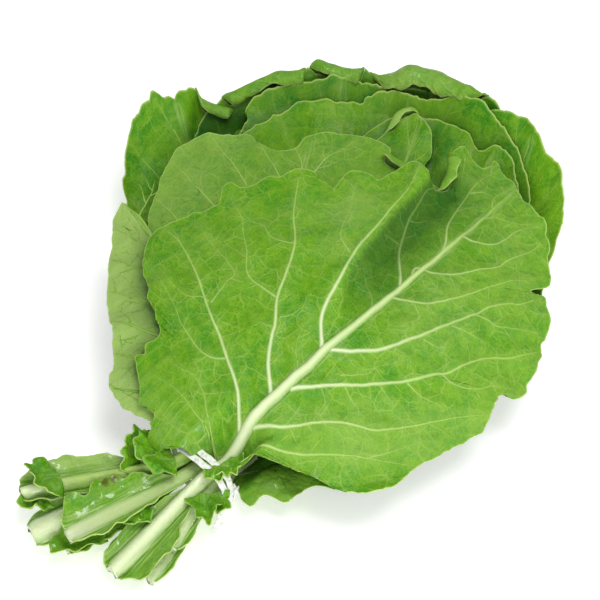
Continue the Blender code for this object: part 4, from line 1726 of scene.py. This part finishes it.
@dataclass
class Tie:
    """The flat white band wound round the neck, ending in a plain hanging flap."""

    width: float = 0.0046
    thickness: float = 0.0010
    pitch: float = 0.0058
    turns: float = 2.0
    half_width: float = 0.0264
    half_height: float = 0.0206
    centre_z: float = 0.0222
    squareness: float = 3.2
    flap_width: float = 0.013
    flap_fall: tuple[float, float, float] = (-0.009, -0.003, -0.017)
    sway: float = 0.0008
    sway_beat: float = 9.0
    crinkle: float = 0.0002
    crinkle_beat: float = 0.9
    profile: tuple[Point, ...] = (
        (-1.0, 0.75), (-0.85, 1.0), (-0.4, 1.0), (0.0, 1.0), (0.4, 1.0), (0.85, 1.0), (1.0, 0.75),
    )
    steps: int = 260
    flap_steps: int = 24

    def line(self, lift: float) -> np.ndarray:
        """Follows the winding and the flap.

        Args:
            lift: How far off the band's middle.

        Returns:
            Points in space.
        """
        turn = np.linspace(0.0, self.turns, self.steps)
        angle = math.pi + turn * math.tau
        across, upward = np.cos(angle), np.sin(angle)
        power = self.squareness
        bulge = (np.abs(across) ** power + np.abs(upward) ** power) ** (-1 / power)
        x = self.pitch * (self.turns / 2 - turn)
        y = (self.half_width + lift) * across * bulge
        z = self.centre_z + (self.half_height + lift) * upward * bulge
        wound = np.column_stack([x, y, z])
        share = np.linspace(0.0, 1.0, self.flap_steps + 1)[1:, None]
        swing = self.sway * np.sin(share * self.sway_beat) * np.array([0.0, 1.0, 0.0])
        fall = np.array(self.flap_fall) * share + swing
        return np.vstack([wound, wound[-1] + fall])

    def build(self, finishes: Finishes) -> None:
        """Builds the band as one closed ribbon with rounded edges.

        Args:
            finishes: The bunch's materials.
        """
        inner, outer = (self.line(lift) for lift in (-self.thickness / 2, self.thickness / 2))
        flap_share = np.maximum(0.0, np.arange(len(inner)) - self.steps + 1) / self.flap_steps
        width = self.width + (self.flap_width - self.width) * smooth_step(0.0, 0.5, flap_share)
        below = [(side, 1 - out) for side, out in self.profile[::-1]]
        rings = []
        for side, out in (below[-1], *self.profile, *below):
            beat = np.arange(len(inner)) * self.crinkle_beat + side * 3
            crinkle = self.crinkle * np.sin(beat) * (abs(side) > 0.5)
            aside = np.outer(side * width / 2 + crinkle, (1.0, 0.0, 0.0))
            rings.append(inner + (outer - inner) * out + aside)
        mesh = Mesher.grid("tie_wound", np.stack(rings, axis=1), {}, None, tube=True)
        add_piece(mesh, "tie", [finishes.tie])


@dataclass(frozen=True)
class Lamp:
    """A square soft light that faces the bunch. Its place is to the camera's right, up and back."""

    name: str
    place: Spot
    size: float
    power: float


@dataclass
class Studio:
    """The plain pale floor, the soft lights and the camera."""

    picture: int = 600
    metres_per_pixel: float = 0.00065
    distance: float = 1.1
    azimuth: float = 50.0
    elevation: float = 50.0
    neck_pixel: Point = (200.0, 465.0)
    neck_height: float = 0.030
    sensor: float = 36.0
    sky: float = 0.53
    floor_size: float = 6.0
    lamps: tuple[Lamp, ...] = (
        Lamp("key", (0.30, 0.75, 1.2), 0.6, 9.2),
        Lamp("fill", (0.2, -0.75, 1.2), 0.8, 8.9),
    )

    def __post_init__(self) -> None:
        """Works out the camera's right, up and forward directions."""
        turn, rise = math.radians(self.azimuth), math.radians(self.elevation)
        self.right = Vector((math.cos(turn), -math.sin(turn), 0))
        level = Vector((math.sin(turn), math.cos(turn), 0))
        self.forward = level * math.cos(rise) - Vector((0, 0, math.sin(rise)))
        self.up = self.right.cross(self.forward)

    def build(self) -> None:
        """Builds the floor, the lights and the camera."""
        self.build_floor()
        self.build_sky()
        for lamp in self.lamps:
            self.add_light(lamp)
        self.build_camera()
        bpy.context.scene.view_settings.view_transform = "Standard"

    @staticmethod
    def add(name: str, data: bpy.types.ID) -> bpy.types.Object:
        """Adds an object of its own to the scene.

        Args:
            name: The object's name.
            data: Its mesh, light or camera.

        Returns:
            The object.
        """
        made = bpy.data.objects.new(name, data)
        bpy.context.scene.collection.objects.link(made)
        return made

    def build_camera(self) -> None:
        """Places the camera so that the neck falls on its pixel of the photograph."""
        aside = (self.picture / 2 - self.neck_pixel[0]) * self.metres_per_pixel
        above = (self.neck_pixel[1] - self.picture / 2) * self.metres_per_pixel
        target = Vector(NECK) + Vector((0, 0, self.neck_height)) + self.right * aside + self.up * above
        camera = self.add("camera", bpy.data.cameras.new("camera"))
        camera.data.sensor_width = self.sensor
        camera.data.lens = self.sensor * self.distance / (self.picture * self.metres_per_pixel)
        turned = Matrix((self.right, self.up, -self.forward)).transposed().to_4x4()
        camera.matrix_world = Matrix.Translation(target - self.forward * self.distance) @ turned
        bpy.context.scene.camera = camera

    def build_floor(self) -> None:
        """Lays the floor."""
        model = bmesh.new()
        bmesh.ops.create_grid(model, x_segments=1, y_segments=1, size=self.floor_size)
        mesh = bpy.data.meshes.new("floor")
        model.to_mesh(mesh)
        model.free()
        mesh.materials.append(FloorFinish("floor").build())
        self.add("floor", mesh)

    def build_sky(self) -> None:
        """Sets an even white sky."""
        world = bpy.data.worlds.new("sky")
        world.use_nodes = True
        background = world.node_tree.nodes["Background"]
        NodeCanvas(world.node_tree).feed(background, {"Color": (1.0, 1.0, 1.0, 1.0), "Strength": self.sky})
        bpy.context.scene.world = world

    def add_light(self, lamp: Lamp) -> None:
        """Adds a light.

        Args:
            lamp: The light's place and strength.
        """
        aside, above, back = lamp.place
        place = self.right * aside + self.up * above - self.forward * back
        light = self.add(lamp.name, bpy.data.lights.new(lamp.name, "AREA"))
        light.data.shape = "SQUARE"
        light.data.size = lamp.size
        light.data.energy = lamp.power
        light.location = place
        light.rotation_euler = (-place).to_track_quat("-Z", "Y").to_euler()


LEAVES = (
    Leaf(
        name="leaf_front", place=9, cut_end=(-0.088, -0.004, 0.015), cut_width=0.013,
        wings=(0.007, 0.014), cup=0.004, neck=(-0.010, 0.035), neck_width=0.0095,
        midrib=((40, -30), (165, -45), (300, -34)),
        rim=(
            (14, -32), (29, -69), (36, -89), (37, -93), (45, -104), (59, -113), (76, -114), (95, -120),
            (112, -125), (129, -129), (137, -129), (149, -126), (160, -125), (165, -131), (176, -132),
            (182, -129), (193, -129), (205, -125), (212, -120), (222, -117), (233, -109), (241, -101),
            (235, -93), (248, -97), (255, -96), (265, -86), (275, -81), (281, -73), (287, -68),
            (291, -55), (293, -46), (298, -36), (303, -28), (303, -19), (307, -9), (301, -10),
            (296, -5), (296, 4), (296, 12), (282, 13), (269, 6), (260, 2), (248, 1), (249, 8),
            (251, 18), (244, 25), (233, 28), (220, 30), (220, 37), (212, 49), (204, 49), (192, 46),
            (194, 54), (191, 59), (196, 67), (189, 76), (177, 82), (172, 91), (157, 96), (151, 108),
            (135, 104), (122, 111), (101, 124), (90, 126), (74, 116), (59, 97), (49, 83), (38, 68),
            (33, 68), (29, 72), (23, 68), (19, 73), (10, 62), (4, 56), (-3, 49), (-3, 39), (-5, 35),
            (-9, 36), (-10, 32), (-14, 32), (-18, 29), (-17, 22), (-12, 13), (-3, 5), (11, 1),
        ),
        fan=0.034, face_up=Face.OUTER,
        folds=(
            Fold(
                ((0.100, -0.031), (0.135, -0.010), (0.191, 0.001), (0.246, 0.006)),
                rise=0.004, drop=0.008, right_reach=0.013, shade=0.85,
            ),
        ),
        stem_pale=0.95, blister=0.0013,
        wet_spots=((0.030, -0.075, 0.010),),
        # pale spots: paler bloom with a painted sheen
        bloom_and_lit_spots=(
            (0.068, -0.085, 0.026),
            (0.092, -0.105, 0.028),
            (0.118, -0.118, 0.024),
            (0.150, 0.010, 0.018),
            (0.182, 0.022, 0.024),
        ),
        rolls=(Roll((0.284, 0.013), (0.249, 0.001), 0.0050, 250.0, tone=0.55),),
        rows=300, columns=40,
        veins=(
            Vein(((21, -17), (33, -6), (40, 3), (48, 17), (56, 30), (62, 42), (70, 55), (85, 79),
                  (97, 104), (101, 120)), 2.2),
            Vein(((47, 17), (42, 26), (42, 35), (46, 48), (50, 59), (56, 69), (64, 86),
                  (74, 109)), 1.1),
            Vein(((70, 52), (70, 59), (66, 67), (69, 86), (75, 101)), 0.9),
            Vein(((70, 50), (87, 51), (94, 50), (101, 67), (108, 88), (116, 101)), 1.0),
            Vein(((46, -22), (60, -8), (74, 1), (82, 5), (96, 15), (109, 20), (134, 32), (154, 50),
                  (171, 62), (184, 70)), 2.5),
            Vein(((96, 15), (96, 26), (98, 42), (112, 55), (123, 68), (132, 77), (139, 90),
                  (146, 101)), 1.2),
            Vein(((134, 32), (131, 39), (130, 50), (135, 61), (134, 72), (139, 85)), 1.0),
            Vein(((87, 5), (93, 0), (101, -3), (102, -11)), 0.8),
            Vein(((80, 4), (77, 9), (77, 17)), 0.7),
            Vein(((88, -29), (102, -17), (115, -12), (134, -8), (159, -2), (188, 2), (213, 6),
                  (233, 10), (248, 15)), 2.6),
            Vein(((151, -1), (160, 14), (184, 25), (196, 33), (207, 43)), 1.0),
            Vein(((70, -24), (78, -16), (88, -12), (96, -11)), 0.8),
            Vein(((169, -30), (183, -18), (196, -11), (212, -4), (225, -1), (240, 2), (250, 1)), 1.9),
            Vein(((190, -13), (188, -5), (182, -3)), 0.9),
            Vein(((211, -4), (215, -9), (223, -14), (222, -21)), 0.9),
            Vein(((140, -29), (146, -19), (155, -9)), 0.9),
            Vein(((214, -34), (227, -26), (244, -21), (266, -16), (284, -14), (297, -15)), 1.6),
            Vein(((266, -16), (274, -23), (275, -31), (265, -40)), 1.0),
            Vein(((275, -31), (289, -31), (300, -34)), 0.9),
            Vein(((244, -21), (254, -24), (263, -29)), 0.8),
            Vein(((291, 6), (281, 0), (266, -8)), 0.8),
            Vein(((228, -38), (231, -46), (239, -55), (251, -57), (267, -58), (284, -66)), 1.5),
            Vein(((263, -41), (268, -49), (275, -58), (284, -64)), 1.0),
            Vein(((181, -34), (187, -45), (199, -55), (226, -68), (239, -69), (263, -74),
                  (277, -74)), 1.7),
            Vein(((194, -52), (188, -62), (184, -64)), 0.8),
            Vein(((181, -40), (178, -53), (173, -57)), 0.8),
            Vein(((149, -35), (155, -45), (163, -55), (173, -61), (188, -68), (204, -73), (230, -82),
                  (240, -88)), 1.6),
            Vein(((157, -51), (152, -59), (140, -56)), 0.8),
            Vein(((91, -33), (101, -44), (112, -54), (132, -63), (152, -70), (185, -81), (196, -83),
                  (211, -90), (220, -96), (236, -100)), 2.6),
            Vein(((185, -81), (190, -89), (193, -97), (218, -116)), 1.0),
            Vein(((220, -96), (222, -104), (229, -109)), 0.8),
            Vein(((165, -76), (171, -87), (175, -98), (164, -101)), 0.9),
            Vein(((96, -40), (95, -51), (99, -60)), 0.7),
            Vein(((123, -61), (125, -70)), 0.7),
            Vein(((143, -70), (147, -80), (154, -85)), 0.8),
            Vein(((59, -31), (78, -50), (98, -68), (115, -80), (132, -89), (138, -93), (163, -101),
                  (185, -114), (206, -122)), 2.4),
            Vein(((81, -54), (78, -62), (77, -69), (70, -73)), 0.9),
            Vein(((98, -69), (97, -76), (96, -85)), 0.8),
            Vein(((113, -80), (114, -92), (120, -104), (117, -106), (108, -105)), 1.0),
            Vein(((135, -92), (137, -101), (147, -112), (159, -118), (172, -131)), 1.1),
            Vein(((70, -44), (65, -51), (57, -52), (54, -55)), 0.7),
            Vein(((84, -48), (97, -59), (107, -62), (124, -72)), 0.8),
            Vein(((28, -24), (36, -38), (53, -55), (67, -71), (76, -84), (97, -99), (108, -105),
                  (125, -115), (141, -125)), 2.0),
            Vein(((91, -96), (90, -104)), 0.7),
            Vein(((48, -51), (46, -58)), 0.7),
            Vein(((70, -79), (70, -90)), 0.7),
            Vein(((11, -21), (21, -35), (27, -46), (36, -61), (49, -76), (60, -90), (70, -102),
                  (78, -111)), 1.7),
            Vein(((60, -90), (76, -99), (93, -108), (106, -119)), 0.9),
            Vein(((9, -12), (10, -1), (11, 11), (15, 27), (16, 43), (15, 55)), 1.1),
            Vein(((13, -14), (10, -5), (15, 5), (23, 15), (28, 28), (27, 38), (27, 50)), 1.2),
            Vein(((23, 15), (29, 6), (35, -1)), 0.7),
            Vein(((7, -9), (2, 3), (-2, 17), (0, 30), (3, 43)), 0.8),
        ),
        net_seed=5, sparse=True,
    ),
    Leaf(
        name="leaf_left", place=8, cut_end=(-0.089, 0.074, 0.030), cut_width=0.010,
        wings=(0.012, 0.005), cup=0.004, neck=(0.011, 0.035), neck_width=0.0085,
        midrib=((35, 16), (85, 80), (108, 160)),
        rim=(
            (30, 0), (60, -10), (100, 0), (128, 30), (134, 66), (122, 96), (104, 118), (101, 136),
            (105, 152), (111, 172), (97, 167), (83, 155), (51, 130), (30, 105), (12, 86), (2, 82),
            (-7, 64), (-6, 43), (4, 27), (14, 16),
        ),
        fan=0.044, face_up=Face.OUTER, tone=1.0, stem_pale=0.25,
    ),
    Leaf(
        name="leaf_second", place=7, cut_end=(-0.101, 0.055, 0.015), cut_width=0.019,
        wings=(0.004, 0.003), cup=0.002, neck=(0.0145, 0.026), neck_width=0.0085,
        midrib=((60, 20), (150, 50), (240, 104)),
        rim=(
            (30, 0), (50, -40), (85, -80), (135, -97), (190, -92), (230, -70), (255, -40), (266, -10),
            (265, 18), (258, 45), (267, 56), (264, 76), (255, 99), (241, 108), (218, 108), (211, 126),
            (215, 146), (203, 160), (195, 171), (176, 178), (156, 173), (139, 164), (115, 151),
            (98, 134), (84, 110), (66, 80), (48, 50), (34, 24),
        ),
        fan=0.046, face_up=Face.OUTER,
        rolls=(Roll((0.266, 0.019), (0.262, 0.056), 0.0050, 240.0, tone=0.60),),
        stem_pale=0.85, tone=0.15, shade_reach=0.003,
    ),
    Leaf(
        name="leaf_inner_small", place=6, cut_end=(-0.094, 0.026, 0.029), cut_width=0.012,
        wings=(0.014, 0.007), cup=0.007, neck=(0.001, 0.026), neck_width=0.0080,
        midrib=((80, 0), (200, 10), (308, 60)),
        rim=(
            (50, -8), (100, -22), (160, -22), (220, -2), (270, 26), (302, 44), (313, 66), (301, 76),
            (278, 72), (240, 80), (190, 72), (130, 50), (80, 26), (50, 10),
        ),
        fan=0.050, face_up=Face.INSIDE,
        rolls=(Roll((0.313, 0.062), (0.282, 0.073), 0.0042, 250.0, tone=0.45),),
        stem_pale=0.50,
        blemishes=((-0.052, 0.034, 0.0035), (-0.047, 0.031, 0.0030)),
    ),
    Leaf(
        name="leaf_inner", place=5, cut_end=(-0.052, -0.022, 0.0145), cut_width=0.009,
        wings=(0.002, 0.005), cup=0.001, neck=(-0.0145, 0.026), neck_width=0.0080,
        midrib=((80, -14), (200, -20), (320, 2)),
        rim=(
            (45, -22), (80, -50), (130, -75), (190, -85), (245, -75), (285, -55), (309, -31),
            (324, -14), (326, 4), (318, 11), (322, 26), (320, 43), (314, 60), (304, 77), (270, 90),
            (220, 85), (160, 60), (100, 30), (55, 4),
        ),
        fan=0.050, face_up=Face.INSIDE,
    ),
    Leaf(
        name="leaf_third", place=4, cut_end=(-0.042, -0.001, 0.015), cut_width=0.009,
        wings=(0.001, 0.001), cup=0.001, neck=(-0.007, 0.017), neck_width=0.0080,
        midrib=((80, 0), (200, 20), (318, 78)),
        rim=(
            (56, -16), (90, -45), (150, -68), (210, -75), (265, -65), (305, -45), (328, -18), (336, 6),
            (340, 28), (336, 48), (328, 65), (318, 90), (305, 104), (299, 106), (292, 117), (271, 142),
            (252, 151), (232, 160), (200, 155), (150, 120), (100, 75), (66, 30), (56, 6),
        ),
        fan=0.052, face_up=Face.INSIDE,
    ),
    Leaf(
        name="leaf_fourth", place=3, cut_end=(-0.093, 0.032, 0.007), cut_width=0.010,
        wings=(0.001, 0.005), cup=0.002, neck=(0.007, 0.017), neck_width=0.0080,
        midrib=((80, 10), (200, 50), (298, 124)),
        rim=(
            (58, 2), (90, -28), (150, -45), (210, -40), (265, -15), (300, 25), (318, 65), (316, 98),
            (307, 120), (288, 142), (274, 155), (258, 167), (243, 172), (234, 164), (200, 165),
            (150, 145), (100, 105), (65, 60), (45, 22),
        ),
        fan=0.058, face_up=Face.INSIDE, stem_pale=0.30,
    ),
    Leaf(
        name="leaf_right", place=2, cut_end=(-0.074, -0.023, 0.004), cut_width=0.009,
        wings=(0.002, 0.003), cup=0.002, neck=(-0.012, 0.008), neck_width=0.0080,
        midrib=((80, -30), (200, -50), (338, -18)),
        rim=(
            (18, -20), (4, -31), (1, -43), (13, -44), (17, -57), (27, -60), (40, -64), (56, -82),
            (80, -94), (115, -106), (160, -110), (210, -104), (255, -90), (296, -74), (312, -68),
            (326, -56), (334, -46), (340, -29), (347, -7), (345, 14), (335, 35), (305, 50), (250, 55),
            (190, 45), (130, 25), (80, 6), (45, -4),
        ),
        fan=0.060, face_up=Face.INSIDE,
        dents=(Dent((0.022, -0.045), 0.028, 0.009),),
        wet_spots=((0.022, -0.050, 0.036),),
        # pale spots here are painted light that brightens the lobe lying in the front leaf's shade
        bloom_and_lit_spots=((0.024, -0.045, 0.030),),
        bloom_and_lit_share=0.80, shade_reach=0.003,
    ),
    Leaf(
        name="leaf_back_left", place=1, cut_end=(-0.080, 0.074, 0.006), cut_width=0.009,
        wings=(0.002, 0.001), cup=0.002, neck=(0.0115, 0.008), neck_width=0.0080,
        midrib=((70, 20), (160, 100), (206, 206)),
        rim=(
            (45, 4), (100, -15), (160, -10), (215, 20), (250, 70), (262, 120), (252, 165), (236, 192),
            (221, 207), (206, 211), (196, 220), (178, 222), (161, 217), (145, 205), (130, 190),
            (105, 160), (75, 125), (55, 85), (42, 50), (38, 22),
        ),
        fan=0.062, face_up=Face.INSIDE,
        folds=(
            Fold(((0.140, 0.140), (0.185, 0.186), (0.224, 0.207)), rise=0.004, drop=0.010, right_reach=0.020),
        ),
        rolls=(Roll((0.243, 0.182), (0.225, 0.206), 0.0055, ease=0.005),),
    ),
    Leaf(
        name="leaf_back", place=0, cut_end=(-0.076, 0.008, 0.005), cut_width=0.009,
        wings=(0.002, 0.002), cup=0.001, neck=(0.000, 0.008), neck_width=0.0080,
        midrib=((80, -4), (220, 10), (344, 72)),
        rim=(
            (40, -14), (80, -50), (130, -80), (190, -90), (250, -80), (300, -55), (335, -20), (348, 16),
            (351, 42), (348, 67), (341, 87), (331, 100), (318, 121), (303, 148), (291, 155), (262, 180),
            (234, 194), (200, 190), (150, 170), (100, 130), (65, 85), (42, 40), (36, 10),
        ),
        fan=0.064, face_up=Face.INSIDE,
        rolls=(
            Roll((0.356, 0.026), (0.321, 0.118), 0.0090, ease=0.020),
            Roll((0.320, 0.120), (0.294, 0.154), 0.0060, ease=0.004),
            Roll((0.293, 0.156), (0.238, 0.190), 0.0058, ease=0.005),
        ),
    ),
)


def build_leaves(finishes: Finishes) -> None:
    """Builds every leaf, from the top one to the lowest, and reports its pieces.

    Args:
        finishes: The bunch's materials.
    """
    pile = Pile()
    forms: list[LeafForm] = []
    for leaf in LEAVES:
        dressed = DressedLeaf(leaf, pile, finishes, list(forms))
        dressed.build()
        forms.append(dressed.form)
        log.info("%s: sheet, ribs, rolled edges: %d", leaf.name, len(leaf.rolls))


def main() -> None:
    """Builds the whole picture."""
    logging.basicConfig(level=logging.INFO, format="%(message)s")
    finishes = Finishes.build()
    build_leaves(finishes)
    for scrap in SCRAPS:
        scrap.build(finishes)
        log.info("%s: a frilly scrap", scrap.name)
    Tie().build(finishes)
    log.info("tie: two turns and a flap")
    Studio().build()
    log.info("studio: floor, lights and camera")
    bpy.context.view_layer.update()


if __name__ == "__main__":
    main()
